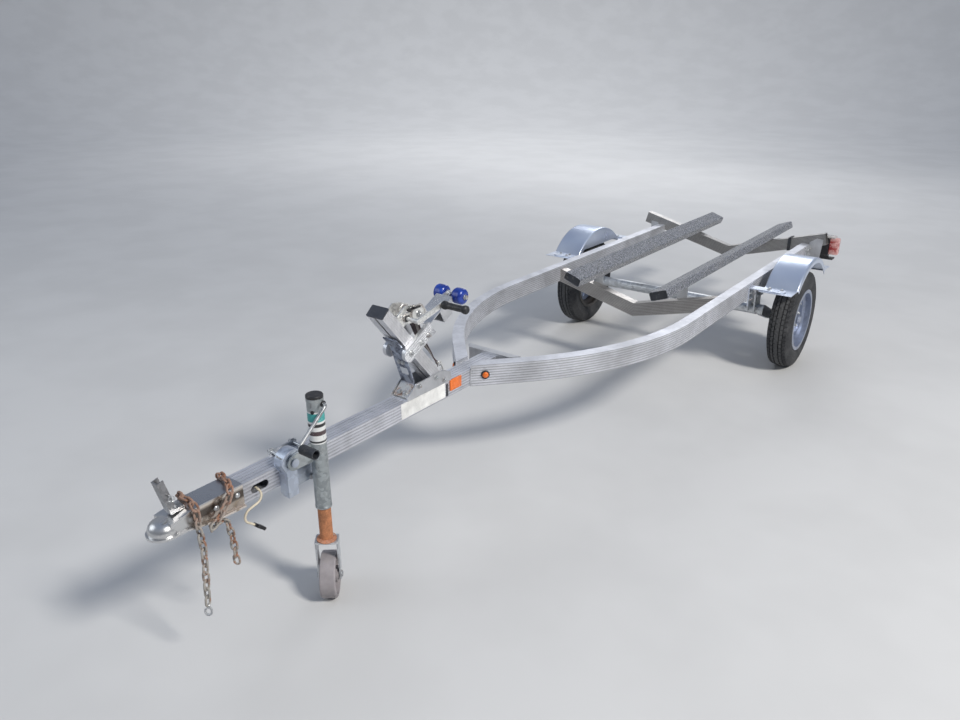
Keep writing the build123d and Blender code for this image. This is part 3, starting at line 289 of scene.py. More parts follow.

# tyre rubber: dry, dusty, paler on the tread's ribs, in fine specks and in cloudy patches
s = Skin("tyre_rubber", Metallic=0.0)
y, z = s.math("SUBTRACT", s.axis(1), AXLE / 1000.0), s.math("SUBTRACT", s.axis(2), 0.268)
radius = s.math("SQRT", s.math("ADD", s.math("MULTIPLY", y, y), s.math("MULTIPLY", z, z)))
cloud, fine = s.noise(16.0, 7.0, 0.65), s.noise(210.0, 6.0, 0.7)
col = s.mix(s.range(cloud, 0.35, 0.7), (0.013, 0.014, 0.017), (0.040, 0.041, 0.045))
crown = s.range(radius, 0.2625, 0.2662, 0.0, 0.34)
specks = s.range(fine, 0.48, 0.66, 0.0, 0.32)
side = s.math("MULTIPLY", s.range(cloud, 0.45, 0.75), 0.35)
dust = s.math("MAXIMUM", s.math("MAXIMUM", crown, specks), side)
s.set(Base_Color=s.mix(dust, col, (0.160, 0.160, 0.160)), Roughness=s.range(cloud, 0.3, 0.7, 0.72, 0.95))
tyre_rubber = s.bump(fine, 0.35, 0.0008).m

# bunk carpet: looped pile, dark blue-grey with pale flecks, bleached in cloudy patches
s = Skin("bunk_carpet", Roughness=0.95, Sheen_Weight=0.35, Sheen_Roughness=0.5)
loops, flecks, cloud = s.noise(190.0, 2.0, 0.8), s.noise(95.0, 3.0, 0.85), s.noise(9.0, 5.0, 0.6)
col = s.ramp(loops, (0.36, (0.022, 0.027, 0.040)), (0.50, (0.105, 0.118, 0.150)), (0.62, (0.34, 0.36, 0.41)))
col = s.mix(s.range(flecks, 0.53, 0.60, 0.0, 0.80), col, (0.42, 0.43, 0.46))
col = s.mix(s.range(flecks, 0.46, 0.39, 0.0, 0.85), col, (0.012, 0.014, 0.022))
s.set(Base_Color=s.mix(s.range(cloud, 0.5, 0.75, 0.0, 0.30), col, (0.26, 0.25, 0.24)))
carpet = s.bump(s.math("ADD", loops, s.math("MULTIPLY", flecks, 1.5)), 0.9, 0.0025).m

# moulded blue rollers
s = Skin("blue_urethane", Coat_Weight=0.35, Coat_Roughness=0.15)
cloud = s.noise(30.0, 5.0, 0.6)
rubbed = s.range(s.noise(70.0, 7.0, 0.8), 0.58, 0.78, 0.0, 0.30)
col = s.mix(s.range(cloud, 0.35, 0.65), (0.006, 0.022, 0.20), (0.010, 0.060, 0.42))
s.set(Base_Color=s.mix(rubbed, col, (0.16, 0.26, 0.55)), Roughness=s.range(cloud, 0.3, 0.7, 0.24, 0.40))
roller_blue = s.bump(cloud, 0.10, 0.001).m

# red lens with moulded prisms
s = Skin("red_lens", Metallic=0.0, IOR=1.49, Transmission_Weight=0.25, Coat_Weight=0.5, Coat_Roughness=0.1)
prism = s.noise(1.0, 1.0, 0.5, s.map((420.0, 420.0, 420.0)))
core = s.math("MULTIPLY", s.range(s.noise(40.0, 3.0), 0.36, 0.56), s.range(s.math("ABSOLUTE", s.math("SUBTRACT", s.axis(2), 0.512)), 0.044, 0.026))
s.set(Base_Color=s.mix(core, (0.88, 0.50, 0.46), (0.44, 0.04, 0.04)), Roughness=s.range(prism, 0.3, 0.7, 0.14, 0.32))
red_lens = s.bump(prism, 0.5, 0.0012).m

s = Skin("clear_lens", Metallic=0.0, IOR=1.49, Transmission_Weight=0.45, Coat_Weight=0.4, Coat_Roughness=0.1)
prism = s.noise(1.0, 1.0, 0.5, s.map((380.0, 380.0, 380.0)))
s.set(Base_Color=s.mix(s.range(prism, 0.35, 0.65), (0.72, 0.70, 0.68), (0.92, 0.91, 0.89)), Roughness=s.range(prism, 0.3, 0.7, 0.12, 0.30))
clear_lens = s.bump(prism, 0.4, 0.001).m

# webbing: u runs across the strap, v along it in metres
s = Skin("strap_webbing", Roughness=0.9, Sheen_Weight=0.25, Sheen_Roughness=0.5)
u, v = s.axis(0, s.uv), s.axis(1, s.uv)
ribs = s.math("SINE", s.math("MULTIPLY", u, 90.0))
picks = s.math("SINE", s.math("MULTIPLY", v, 2600.0))
weave = s.math("MULTIPLY", ribs, picks)
stripe = s.range(s.math("ABSOLUTE", s.math("SUBTRACT", u, 0.70)), 0.16, 0.13)
col = s.mix(s.range(weave, -0.6, 0.6), (0.020, 0.012, 0.014), (0.105, 0.055, 0.055))
col = s.mix(stripe, col, s.mix(s.range(weave, -0.6, 0.6), (0.34, 0.29, 0.25), (0.68, 0.62, 0.55)))
s.set(Base_Color=s.mix(s.range(s.noise(24.0, 6.0), 0.52, 0.72, 0.0, 0.45), col, (0.16, 0.11, 0.09)))
webbing = s.bump(weave, 0.6, 0.0006).m

# bands of colour on the jack's tube, blank of any writing
s = Skin("jack_bands", Roughness=0.42)
h = s.axis(2)
def band(low, high):
    return s.math("MULTIPLY", s.range(h, low - 0.0004, low + 0.0004), s.range(h, high + 0.0004, high - 0.0004))
col = s.mix(band(0.628, 0.655), (0.72, 0.73, 0.72), (0.05, 0.34, 0.33))
col = s.mix(band(0.611, 0.621), col, (0.025, 0.025, 0.028))
col = s.mix(band(0.584, 0.598), col, (0.075, 0.050, 0.055))
col = s.mix(band(0.560, 0.566), col, (0.030, 0.030, 0.034))
worn = s.range(s.noise(60.0, 8.0, 0.8), 0.57, 0.66)
s.set(Base_Color=s.mix(worn, col, (0.47, 0.49, 0.49)), Roughness=s.range(s.noise(30.0), 0.3, 0.7, 0.34, 0.58))
jack_bands = s.bump(worn, 0.2, 0.0003).m

s = Skin("floor", Roughness=0.9)
s.set(Base_Color=s.mix(s.range(s.noise(1.5, 3.0), 0.4, 0.6), (0.60, 0.597, 0.59), (0.63, 0.627, 0.62)))
floor_skin = s.m


def paint(mat, *names):
    for n in names:
        for key in (n, n + "_left", n + "_right"):
            if key in nodes:
                o = nodes[key]
                o.data.materials.clear()
                o.data.materials.append(mat)


paint(alu_tongue, "tongue")
paint(alu_rail, "rail")
paint(alu_front, "cross_member_front")
paint(alu_rear, "cross_member_rear")
paint(alu_post, "winch_post")
paint(alu_arm, "bow_arm", "bow_beam")
paint(alu_plate, "tongue_cross", "rail_end_brackets", "beam_gussets", "bunk_brackets_front", "bunk_brackets_rear", "post_saddle")
paint(galv_blue, "jack_bracket")
paint(strut_zinc, "post_strut")
paint(galv, "axle", "axle_arm", "jack_clamp", "caster_fork")
paint(fender_skin, "fender_bracket")
paint(rim_zinc, "rim", "hub")
paint(galv_tube, "jack_tube")
paint(zinc, "winch_frame", "winch_drum", "winch_crank", "strap_hook", "bow_bolt", "arm_bolts")
paint(rod_zinc, "jack_crank")
paint(latch_zinc, "coupler_latch")
paint(coupler_skin, "coupler")
paint(leg_rust, "jack_leg")
paint(foot_rust, "jack_foot")
paint(fender_skin, "fender")
paint(tyre_rubber, "tyre")
paint(carpet, "bunk")
paint(black, "jack_cap", "winch_grip", "tail_light", "wiring_plug")
paint(black_dusty, "jack_grip")
paint(cap_slate, "post_cap")
paint(red_lens, "tail_lens")
paint(caster_grey, "caster_wheel")
paint(roller_blue, "bow_roller")
paint(chain_rust, "safety_chain")
paint(webbing, "winch_strap")
paint(cream, "wiring_cable")


# ---------------------------------------------------------------- mesh helpers
def piece(name, verts, faces, mat, body="root", slot=None, sharp=35.0, uvs=None, mats=None, picks=None):
    me = bpy.data.meshes.new(name)
    me.from_pydata([tuple(v) for v in verts], [], faces)
    for m in mats or [mat]:
        me.materials.append(m)
    if picks:
        for f, i in zip(me.polygons, picks):
            f.material_index = i
    if uvs:
        layer = me.uv_layers.new(name="UVMap")
        for loop in me.loops:
            layer.data[loop.index].uv = uvs[loop.vertex_index]
    bm = bmesh.new()
    bm.from_mesh(me)
    bmesh.ops.recalc_face_normals(bm, faces=bm.faces)
    for f in bm.faces:
        f.smooth = True
    for e in bm.edges:
        e.smooth = e.calc_face_angle(0.0) < math.radians(sharp)
    bm.to_mesh(me)
    bm.free()
    o = bpy.data.objects.new(name, me)
    bpy.context.scene.collection.objects.link(o)
    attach(o, body)
    return o


def merge(parts):
    verts, faces = [], []
    for v, f in parts:
        base = len(verts)
        verts += v
        faces += [tuple(i + base for i in g) for g in f]
    return verts, faces


def basis(n):
    n = Vector(n).normalized()
    a = n.cross(Vector((0, 0, 1)) if abs(n.z) < 0.9 else Vector((1, 0, 0))).normalized()
    return a, n.cross(a), n


def lathe(origin, axis, profile, seg=24, closed=False):
    """Rings about an axis from (height, radius) pairs in millimetres."""
    a, b, n = basis(axis)
    verts, faces = [], []
    for h, r in profile:
        for i in range(seg):
            t = 2 * math.pi * i / seg
            verts.append(origin + (n * h + (a * math.cos(t) + b * math.sin(t)) * r) / 1000.0)
    k = len(profile)
    for j in range(k if closed else k - 1):
        for i in range(seg):
            p, q = j * seg, ((j + 1) % k) * seg
            faces.append((p + i, p + (i + 1) % seg, q + (i + 1) % seg, q + i))
    if not closed:
        faces.append(tuple(range(seg)))
        faces.append(tuple((k - 1) * seg + i for i in range(seg)))
    return verts, faces


def bolt(origin, axis, across=13.0, head=6.0, washer=None, stub=0.0, spin=0.0):
    """Washer, chamfered hexagon and, on a nut, the end of its thread."""
    a, b, n = basis(axis)
    washer = washer or across * 0.92
    parts = [lathe(origin, axis, ((-0.6, washer), (1.2, washer), (1.6, washer - 0.5), (1.6, across * 0.4)), 20)]
    verts, faces = [], []
    r = across / math.sqrt(3)
    for h, k in ((1.2, 1.0), (1.2 + head * 0.78, 1.0), (1.2 + head, 0.86)):
        for i in range(6):
            t = math.radians(60 * i + spin)
            verts.append(origin + (n * h + (a * math.cos(t) + b * math.sin(t)) * r * k) / 1000.0)
    for j in (0, 6):
        for i in range(6):
            faces.append((j + i, j + (i + 1) % 6, j + 6 + (i + 1) % 6, j + 6 + i))
    faces.append(tuple(range(12, 18)))
    parts.append((verts, faces))
    if stub:
        pr = [(1.2 + head - 0.5, across * 0.30)]
        for i in range(int(stub / 1.2)):
            pr += [(1.2 + head + 1.2 * i, across * 0.30), (1.8 + head + 1.2 * i, across * 0.265)]
        pr.append((1.2 + head + stub, across * 0.24))
        parts.append(lathe(origin, axis, pr, 14))
    return merge(parts)


def round_head(origin, axis, r=9.0, h=4.0):
    return lathe(origin, axis, [(-0.5, r)] + [(h * math.sin(t), r * math.cos(t)) for t in
                 [math.radians(k) for k in (0, 15, 30, 45, 60, 75, 85)]], 20)


def tube(path, r, seg=10, closed=False):
    """Round bar along points, in metres, radius in millimetres."""
    pts = [Vector(p) for p in path]
    n = len(pts)
    verts, faces = [], []
    t0 = (pts[1] - pts[0]).normalized()
    side = basis(t0)[0]
    for i, p in enumerate(pts):
        d = (pts[(i + 1) % n] - pts[i - 1]) if closed or 0 < i < n - 1 else (pts[1] - pts[0] if i == 0 else pts[-1] - pts[-2])
        d.normalize()
        side = (side - d * side.dot(d)).normalized()
        up = d.cross(side)
        rr = r[i] if isinstance(r, (list, tuple)) else r
        for k in range(seg):
            a = 2 * math.pi * k / seg
            verts.append(p + (side * math.cos(a) + up * math.sin(a)) * rr / 1000.0)
    for i in range(n if closed else n - 1):
        j = (i + 1) % n
        for k in range(seg):
            faces.append((i * seg + k, i * seg + (k + 1) % seg, j * seg + (k + 1) % seg, j * seg + k))
    if not closed:
        faces.append(tuple(range(seg)))
        faces.append(tuple((n - 1) * seg + k for k in range(seg)))
    return verts, faces


def smooth_path(points, rounds=3, closed=False):
    """Corner cutting, ends kept."""
    pts = [Vector(p) for p in points]
    for _ in range(rounds):
        new = [] if closed else [pts[0]]
        m = len(pts)
        for i in range(m if closed else m - 1):
            a, b = pts[i], pts[(i + 1) % m]
            new += [a * 0.75 + b * 0.25, a * 0.25 + b * 0.75]
        if not closed:
            new.append(pts[-1])
        pts = new
    return pts


def block(lo, hi, bevel=1.0, axes=None, origin=None):
    """Rounded box between two corners in millimetres, in the given axes."""
    bm = bmesh.new()
    bmesh.ops.create_cube(bm, size=1.0)
    c = [(a + b) / 2 for a, b in zip(lo, hi)]
    d = [abs(b - a) for a, b in zip(lo, hi)]
    for v in bm.verts:
        v.co = Vector((c[i] + v.co[i] * d[i] for i in range(3)))
    bmesh.ops.bevel(bm, geom=bm.edges[:], offset=bevel, segments=2, affect="EDGES", profile=0.6)
    if axes:
        out = [origin + (axes[0] * v.co.x + axes[1] * v.co.y + axes[2] * v.co.z) / 1000.0 for v in bm.verts]
    else:
        out = [P(*v.co) for v in bm.verts]
    faces = [tuple(v.index for v in f.verts) for f in bm.faces]
    bm.free()
    return out, faces


# ---------------------------------------------------------------- tyres, with grooves and sipes
def tyre(name, sx, body, node):
    steps = 480
    half = [(-50, 153.5), (-50.5, 160), (-51.5, 168), (-54, 172), (-57.5, 178), (-59.4, 188), (-60.4, 198),
            (-60.8, 208), (-60.2, 214), (-60.7, 216), (-60.7, 219), (-59.8, 221), (-58.6, 228), (-56.8, 236),
            (-55.0, 242), (-53.6, 246), (-52.2, 249.2), (-50.4, 254), (-48.4, 257.8)]
    tread = []
    x = -45.5
    for edge, deep in ((-33, 0), (-29.5, 1), (-16.0, 0), (-10.5, 1), (10.5, 0), (16.0, 1), (29.5, 0), (33, 1), (45.5, 0)):
        span = edge - x
        count = 2 if deep else max(2, round(span / 4.5))
        for i in range(count + 1):
            tread.append((x + span * i / count, deep))
        x = edge
    ring = [(px, pr, 0, -1) for px, pr in half]
    zone, last = 0, 0
    for px, deep in tread:
        if deep != last:
            zone, last = zone + 1, deep
        crown = 268.0 - 0.00315 * px * px * (1.0 if abs(px) < 40 else 1.06)
        ring.append((px, crown - (6.5 if deep else 0.0), deep, zone))
    ring += [(-px, pr, 0, -1) for px, pr in reversed(half)]
    n = len(ring)
    verts, faces = [], []
    for i in range(steps):
        t = 2 * math.pi * i / steps
        for px, pr, deep, zn in ring:
            r = pr
            if zn >= 0 and not deep:
                phase = (i + (4 if zn % 4 == 0 else 0) + round(px * 0.10)) % 8
                if zn in (0, 8):
                    r -= 4.2 if phase in (0, 1) else 0.0
                elif zn == 4:
                    r -= 3.4 if phase == 0 and abs(px) > 3.2 else 0.0
                else:
                    r -= 3.6 if phase == 0 else 0.0
            if zn < 0 and 246 <= pr <= 258:
                r -= 1.6 if (i + 4) % 8 in (0, 1) else 0.0
            verts.append(Vector((sx * 0.650 + px * sx / 1000.0, AXLE / 1000.0 + r * math.sin(t) / 1000.0,
                                 0.268 - r * math.cos(t) / 1000.0)))
    for i in range(steps):
        j = (i + 1) % steps
        for k in range(n):
            q = (k + 1) % n
            faces.append((i * n + k, i * n + q, j * n + q, j * n + k))
    o = piece(name, verts, faces, tyre_rubber, body, "tyre_rubber", sharp=28.0)
    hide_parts(node)
    return o


tyre("tyre_tread_left", 1, "wheel_left", "tyre_left")
tyre("tyre_tread_right", -1, "wheel_right", "tyre_right")

for sx, body in ((1, "wheel_left"), (-1, "wheel_right")):
    hub = P(650 * sx, 0, 268)
    parts = []
    for i in range(5):
        t = math.radians(90 + 72 * i)
        spot = hub + Vector((0.0, math.cos(t), math.sin(t))) * 0.05715
        spot.x = sx * 0.6545
        parts.append(bolt(spot, (sx, 0, 0), 19.0, 13.0, 11.5, 7.0, 12 * i))
    side = hub + Vector((sx * 0.020, 0.1225 * math.cos(2.1), 0.1225 * math.sin(2.1)))
    parts.append(lathe(side, (sx, 0, 0), ((-14, 4.6), (6, 4.6), (8, 3.4), (24, 3.4), (25, 4.2), (33, 4.2), (34, 3.4)), 14))
    piece("lug_nuts_" + body, *merge(parts), bright, body, "galvanised_steel")

for sx, side in ((1, "left"), (-1, "right")):
    rim = [P(717.5 * sx, 338.5 * math.cos(a), 268 + 338.5 * math.sin(a)) for a in [math.radians(41.5 + 97 * k / 72) for k in range(73)]]
    piece("fender_edge_" + side, *tube(rim, [6.0 - 1.5 * (abs(k - 36) / 36) ** 6 for k in range(73)], 14), fender_skin, "root", "fender_skin")

# ---------------------------------------------------------------- carpeted bunks
tilt = math.radians(20.0)
for sx, side in ((1, "left"), (-1, "right")):
    across, up = Vector((math.cos(tilt) * sx, 0, math.sin(tilt))), Vector((-math.sin(tilt) * sx, 0, math.cos(tilt)))
    edge = Vector((0.277 * sx, 0, 0.575))
    mid = edge - across * 0.048 - up * 0.0225
    w, h, r, outline = 48.0, 22.5, 8.0, []
    for cx, cz, a0 in ((w - r, h - r, 0), (-(w - r), h - r, 90), (-(w - r), -(h - r), 180), (w - r, -(h - r), 270)):
        for k in range(5):
            t = math.radians(a0 + 22.5 * k)
            outline.append((cx + r * math.cos(t), cz + r * math.sin(t)))
    dense = []
    for i, a in enumerate(outline):
        b = outline[(i + 1) % len(outline)]
        gap = math.hypot(b[0] - a[0], b[1] - a[1])
        for k in range(max(1, round(gap / 4.0))):
            f = k / max(1, round(gap / 4.0))
            dense.append((a[0] + (b[0] - a[0]) * f, a[1] + (b[1] - a[1]) * f))
    n, y0, y1, step = len(dense), -883.0, 1134.0, 5.0
    count = int((y1 - y0) / step)
    stations = [y0 + (y1 - y0) * i / count for i in range(count + 1)]
    verts, faces = [], []
    for y in stations:
        ends = min(y - y0, y1 - y)
        shrink = 0.965 if ends < 2 else 1.0
        for a, b in dense:
            p = mid + across * a / 1000.0 * shrink + up * b / 1000.0 * shrink
            p.y = (AXLE + y) / 1000.0
            out = (across * a * (h / w) + up * b).normalized()
            q = Vector((p.x * 160, p.y * 160, p.z * 160))
            p += out * (noise.noise(q) * 0.7 + noise.noise(q * 3.1) * 0.5) / 1000.0
            verts.append(p)
    for i in range(count):
        for k in range(n):
            q = (k + 1) % n
            faces.append((i * n + k, i * n + q, (i + 1) * n + q, (i + 1) * n + k))
    picks = [0] * len(faces)
    for base, sgn in ((0, 1), (count * n, -1)):
        ring0 = list(range(base, base + n))
        for scale, push, m in ((0.90, 0.3, 0), (0.86, 5.0, 1), (0.02, 5.5, 1)):
            new = []
            for k in range(n):
                a, b = dense[k]
                p = mid + across * (abs(a) - (1 - scale) * 24) * (1 if a > 0 else -1) / 1000.0 if scale > 0.5 else mid.copy()
                if scale > 0.5:
                    p = p + up * (abs(b) - (1 - scale) * 24) * (1 if b > 0 else -1) / 1000.0
                else:
                    p = mid + across * a * scale / 1000.0 + up * b * scale / 1000.0
                p.y = (AXLE + (y0 if sgn > 0 else y1) + sgn * push) / 1000.0
                new.append(len(verts))
                verts.append(p)
            for k in range(n):
                q = (k + 1) % n
                faces.append((ring0[k], ring0[q], new[q], new[k]))
                picks.append(m)
            ring0 = new
        faces.append(tuple(ring0))
        picks.append(1)
    o = piece("bunk_carpet_" + side, verts, faces, None, "root", "carpet", sharp=60.0, mats=[carpet, black_dusty], picks=picks)
    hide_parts("bunk_" + side)

# ---------------------------------------------------------------- safety chains
CHAINS = {
    "left": ((-48, -3262, 476), (-52, -3280, 500), (-42, -3296, 519), (-16, -3298, 522), (20, -3299, 521),
             (48, -3305, 518), (57, -3308, 494), (54, -3308, 462), (51, -3304, 430), (49, -3300, 392),
             (48, -3302, 340), (47, -3306, 285), (46, -3311, 215), (46, -3314, 152)),
    "right": ((-48, -3156, 476), (-52, -3160, 500), (-42, -3166, 521), (-16, -3172, 524), (14, -3180, 523),
              (46, -3194, 521), (58, -3209, 502), (57, -3228, 477), (58, -3248, 456), (58, -3268, 441),
              (38, -3266, 428), (20, -3232, 425), (11, -3200, 413), (8, -3188, 377), (6, -3181, 323),
              (5, -3178, 245)),
}


def link(centre, along, flat, inner=25.0, wire=3.3, width=12.0):
    """One chain link: a long oval of bar."""
    along = along.normalized()
    flat = (flat - along * flat.dot(along)).normalized()
    half, rad = (inner / 2 + wire) - (width - wire), width - wire
    half = max(1.0, half)
    pts = []
    for s0, a0 in ((1, -90), (-1, 90)):
        for k in range(9):
            t = math.radians(a0 + 22.5 * k)
            pts.append(centre + (along * (s0 * half + rad * math.cos(t)) + flat * rad * math.sin(t)) / 1000.0)
    return tube(pts, wire, 9, True)


for side, route in CHAINS.items():
    path = smooth_path([P(*p) for p in route], 3)
    lengths = [0.0]
    for a, b in zip(path, path[1:]):
        lengths.append(lengths[-1] + (b - a).length)

    def where(d):
        for i in range(len(lengths) - 1):
            if d <= lengths[i + 1] or i == len(lengths) - 2:
                f = (d - lengths[i]) / max(1e-9, lengths[i + 1] - lengths[i])
                return path[i].lerp(path[i + 1], f), (path[i + 1] - path[i]).normalized()

    total, pitch_l, parts, d, i = lengths[-1], 0.0252, [], 0.0135, 0
    flat = Vector((0.35, 0.94, 0.0))
    hang = total - 0.036 if side == "left" else total
    while d < hang - 0.010:
        c, t = where(d)
        flat = (flat - t * flat.dot(t)).normalized()
        turned = Matrix.Rotation(math.radians(45 + 90 * (i % 2) + 7 * math.sin(1.7 * i)), 3, t) @ flat
        parts.append(link(c, t, turned))
        d += pitch_l
        i += 1
    o = piece("chain_links_" + side, *merge(parts), chain_rust, "root", "rusty_steel")
    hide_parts("safety_chain_" + side)
    if side == "left":
        c, t = where(hang - 0.006)
        hook = [(0, 0, 8), (6, 3, 3), (9, 4, -6), (7, 3, -15), (1, 0, -21), (-6, -3, -22), (-11, -5, -16), (-11, -5, -8), (-8, -4, -3)]
        pts = smooth_path([c + Vector(q) / 1000.0 for q in hook], 2)
        eye = [c + Vector((4.5 * math.cos(a), 1.5 * math.cos(a), 8 + 5.5 * math.sin(a))) / 1000.0 for a in [math.radians(24 * k) for k in range(15)]]
        piece("chain_hook", *merge([tube(pts, 3.0, 10), tube(eye, 2.6, 9, True)]), bright, "root", "rusty_steel")

# ---------------------------------------------------------------- winch strap and its hook
route = [(-2384, 786), (-2371, 752), (-2353, 712), (-2330, 676), (-2304, 640), (-2281, 607), (-2262, 580), (-2254, 569)]
verts, faces, uvs = [], [], []
pts = smooth_path([P(0, *r) for r in route], 2)
run = 0.0
for i, p in enumerate(pts):
    f = i / (len(pts) - 1)
    d = (pts[min(i + 1, len(pts) - 1)] - pts[max(i - 1, 0)]).normalized()
    turn = math.radians(58.0) * max(0.0, (f - 0.25) / 0.75) ** 1.3
    wide = 23.0 - 11.0 * max(0.0, (f - 0.35) / 0.65)
    out = d.cross(Vector((1, 0, 0))).normalized()
    across = Vector((1, 0, 0)) * math.cos(turn) + out * math.sin(turn)
    normal = d.cross(across).normalized()
    run += (p - pts[i - 1]).length if i else 0.0
    for k in range(9):
        u = k / 8.0
        bow = math.sin(math.pi * u) * 2.2 * f + 0.5 * math.sin(run * 90 + 3 * u)
        for t in (1.1, -1.1):
            verts.append(p + (across * (2 * u - 1) * wide + normal * (bow + t)) / 1000.0)
            uvs.append((u, run))
rows = len(pts)
for i in range(rows - 1):
    for k in range(8):
        for t in (0, 1):
            a, b = (i * 9 + k) * 2 + t, (i * 9 + k + 1) * 2 + t
            c, e = ((i + 1) * 9 + k + 1) * 2 + t, ((i + 1) * 9 + k) * 2 + t
            faces.append((a, b, c, e))
    for k in (0, 8):
        a, b = (i * 9 + k) * 2, (i * 9 + k) * 2 + 1
        faces.append((a, b, b + 18, a + 18))
for i in (0, rows - 1):
    for k in range(8):
        a = (i * 9 + k) * 2
        faces.append((a, a + 1, a + 3, a + 2))
# turns on the drum
seg, turns = 48, []
base = len(verts)
for j in range(3 * seg):
    a = 2 * math.pi * j / seg
    r = 15.5 + 6.2 * j / (3 * seg)
    c = P(0, -2392, 806) + Vector((0, math.cos(a), math.sin(a))) * r / 1000.0
    for k in range(7):
        u = k / 6.0
        verts.append(c + Vector(((2 * u - 1) * 0.0228, 0, 0)))
        uvs.append((u, r * a / 1000.0))
for j in range(3 * seg - 1):
    for k in range(6):
        a = base + j * 7 + k
        faces.append((a, a + 1, a + 8, a + 7))
o = piece("strap_webbing", verts, faces, webbing, "root", "webbing", sharp=50.0, uvs=uvs)
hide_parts("winch_strap")

c = P(0, -2237, 546)
pts = [(0, -20, 27), (0, -12, 34), (0, -2, 27), (0, 6, 8), (0, 13, -10), (0, 11, -24), (0, 0, -31), (0, -9, -25), (0, -10, -14), (0, -6, -5)]
hook = smooth_path([c + Vector(q) / 1000.0 for q in pts], 3)
latch = smooth_path([c + Vector(q) / 1000.0 for q in ((0, 3, 4), (0, -3, -2), (0, -8, -10), (0, -9, -17))], 2)
loop = [c + Vector((13 * math.cos(a), -16 + 5 * math.cos(a) * 0 - 4 * math.sin(a), 26 + 7.5 * math.sin(a))) / 1000.0 for a in [math.radians(15 * k) for k in range(24)]]
o = piece("strap_snap_hook", *merge([tube(hook, 4.2, 12), tube(latch, 1.6, 8), tube(loop, 2.3, 9, True)]), zinc, "root", "zinc_steel")
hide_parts("strap_hook")

# ---------------------------------------------------------------- wiring lead
LEAD = ((31, -3104, 475), (48, -3104, 474), (64, -3109, 466), (72, -3124, 455), (71, -3145, 450),
        (66, -3164, 441), (61, -3172, 421), (57, -3165, 401), (55, -3149, 388), (54, -3134, 374))
curve = bpy.data.curves.new("wiring_lead", "CURVE")
curve.dimensions, curve.bevel_depth, curve.bevel_resolution, curve.resolution_u = "3D", 0.0035, 4, 12
curve.use_fill_caps = True
line = curve.splines.new("NURBS")
line.points.add(len(LEAD) - 1)
for p, q in zip(line.points, LEAD):
    p.co = (*P(*q), 1.0)
line.order_u = 3
line.use_endpoint_u = True
curve.materials.append(cream)
lead = bpy.data.objects.new("wiring_lead", curve)
bpy.context.scene.collection.objects.link(lead)
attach(lead, "root")
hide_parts("wiring_cable")

# plug: moulded four-way body with one open and three covered pins
end, before = P(*LEAD[-1]), P(*LEAD[-2])
d = (end - before).normalized()
px = Vector((1, 0, 0))
px = (px - d * px.dot(d)).normalized()
axes = (px, d.cross(px), d)
parts = [block((-11, -5, -1), (11, 5, 9), 1.6, axes, end), block((-10.4, -4.6, 9), (10.4, 4.6, 25), 1.2, axes, end),
         block((-11, -5, 25), (11, 5, 34), 1.4, axes, end), block((-5, -3.6, -7), (5, 3.6, 0), 1.4, axes, end)]
for x in (-7.5, -2.5, 2.5):
    parts.append(lathe(end + px * x / 1000.0, d, ((33, 2.3), (40, 2.2), (43, 1.9), (43.6, 1.2)), 12))
for h in (11, 14, 17, 20, 23):
    parts.append(block((-10.8, -4.9, h), (10.8, 4.9, h + 1.2), 0.4, axes, end))
plug = piece("wiring_connector", *merge(parts), black, "root", "black_plastic")
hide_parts("wiring_plug")

# ---------------------------------------------------------------- fasteners and fittings on the frame
root = []
for x, y in ((595, -307), (655, -306), (598, -336), (595, 318), (655, 318)):
    for sx in (1, -1):
        root.append(bolt(P(x * sx, y, 500), (0, 0, 1), 11.0, 5.0, 8.5, 0.0, x % 60))
for sx in (1, -1):
    for y, z in ((-345, 470), (-315, 470), (-345, 435), (-315, 435), (315, 470), (345, 470), (315, 435), (345, 435)):
        root.append(bolt(P(510 * sx, y, z), (sx, 0, 0), 12.0, 5.5, 9.0, 4.0, y % 60))
    # hanger bolts, and the rail plates' bolts
    for dy in (-32, 32):
        for z in (345, 412):
            root.append(bolt(P(498 * sx, -150 + dy, z), (sx, 0, 0), 15.0, 7.0, 11.0, 5.0, 20))
            root.append(bolt(P(458 * sx, -150 + dy, z), (-sx, 0, 0), 15.0, 7.0, 11.0, 5.0, 20))
    for y, z in ((675, 462), (675, 498), (722, 462), (722, 498)):
        root.append(bolt(P(511 * sx, y, z), (sx, 0, 0), 13.0, 6.0, 10.0, 4.0, 10))
    # bunk brackets to the cross members
    for y, zs in ((-584, (434, 462)), (801, (470, 498))):
        for z in zs:
            root.append(bolt(P(242 * sx, y, z), (0, 1, 0), 13.0, 6.0, 10.0, 4.0, 15))
    for y in (-596, 790):
        root.append(round_head(P(238 * sx, y, 507.4), (0.342 * sx, 0, -0.94), 5.0, 2.5))
for y, base_z, k in ((-585, 356.5, 114.5 / 455), (800, 403, 160 / 594)):
    for x in (-55, -25, 25, 55):
        root.append(bolt(P(x, y, base_z + abs(x) * k - 2), (0, 1, 0), 12.0, 5.5, 9.0, 3.0, 25))
# tongue joint, saddle, strut and post
for sx in (1, -1):
    for y, z in ((-2405, 546), (-2313, 546), (-2269, 524)):
        root.append(bolt(P(40 * sx, y, z), (sx, 0, 0), 13.0, 6.0, 10.0, 5.0, 12))
arm_up = Vector((0, math.cos(math.radians(28)), math.sin(math.radians(28))))
for sx in (1, -1):
    for a, b in ((14, 0), (72, -6), (112, -8)):
        q = P(51 * sx, -2463, 678) + (arm_up * a + Vector((0, -arm_up.z, arm_up.y)) * b) / 1000.0
        root.append(bolt(q, (sx, 0, 0), 13.0, 6.0, 10.5, 5.0, 33))
n = Vector((0, -math.cos(math.atan2(51.2, 144.7)), -math.sin(math.atan2(51.2, 144.7))))
for x, y, z in ((-9, -2446, 640), (9, -2446, 640)):
    root.append(bolt(P(x, y - 2, z), n, 11.0, 5.0, 8.5, 0.0, 8))
lower = Vector((0, -0.65, 0.76))
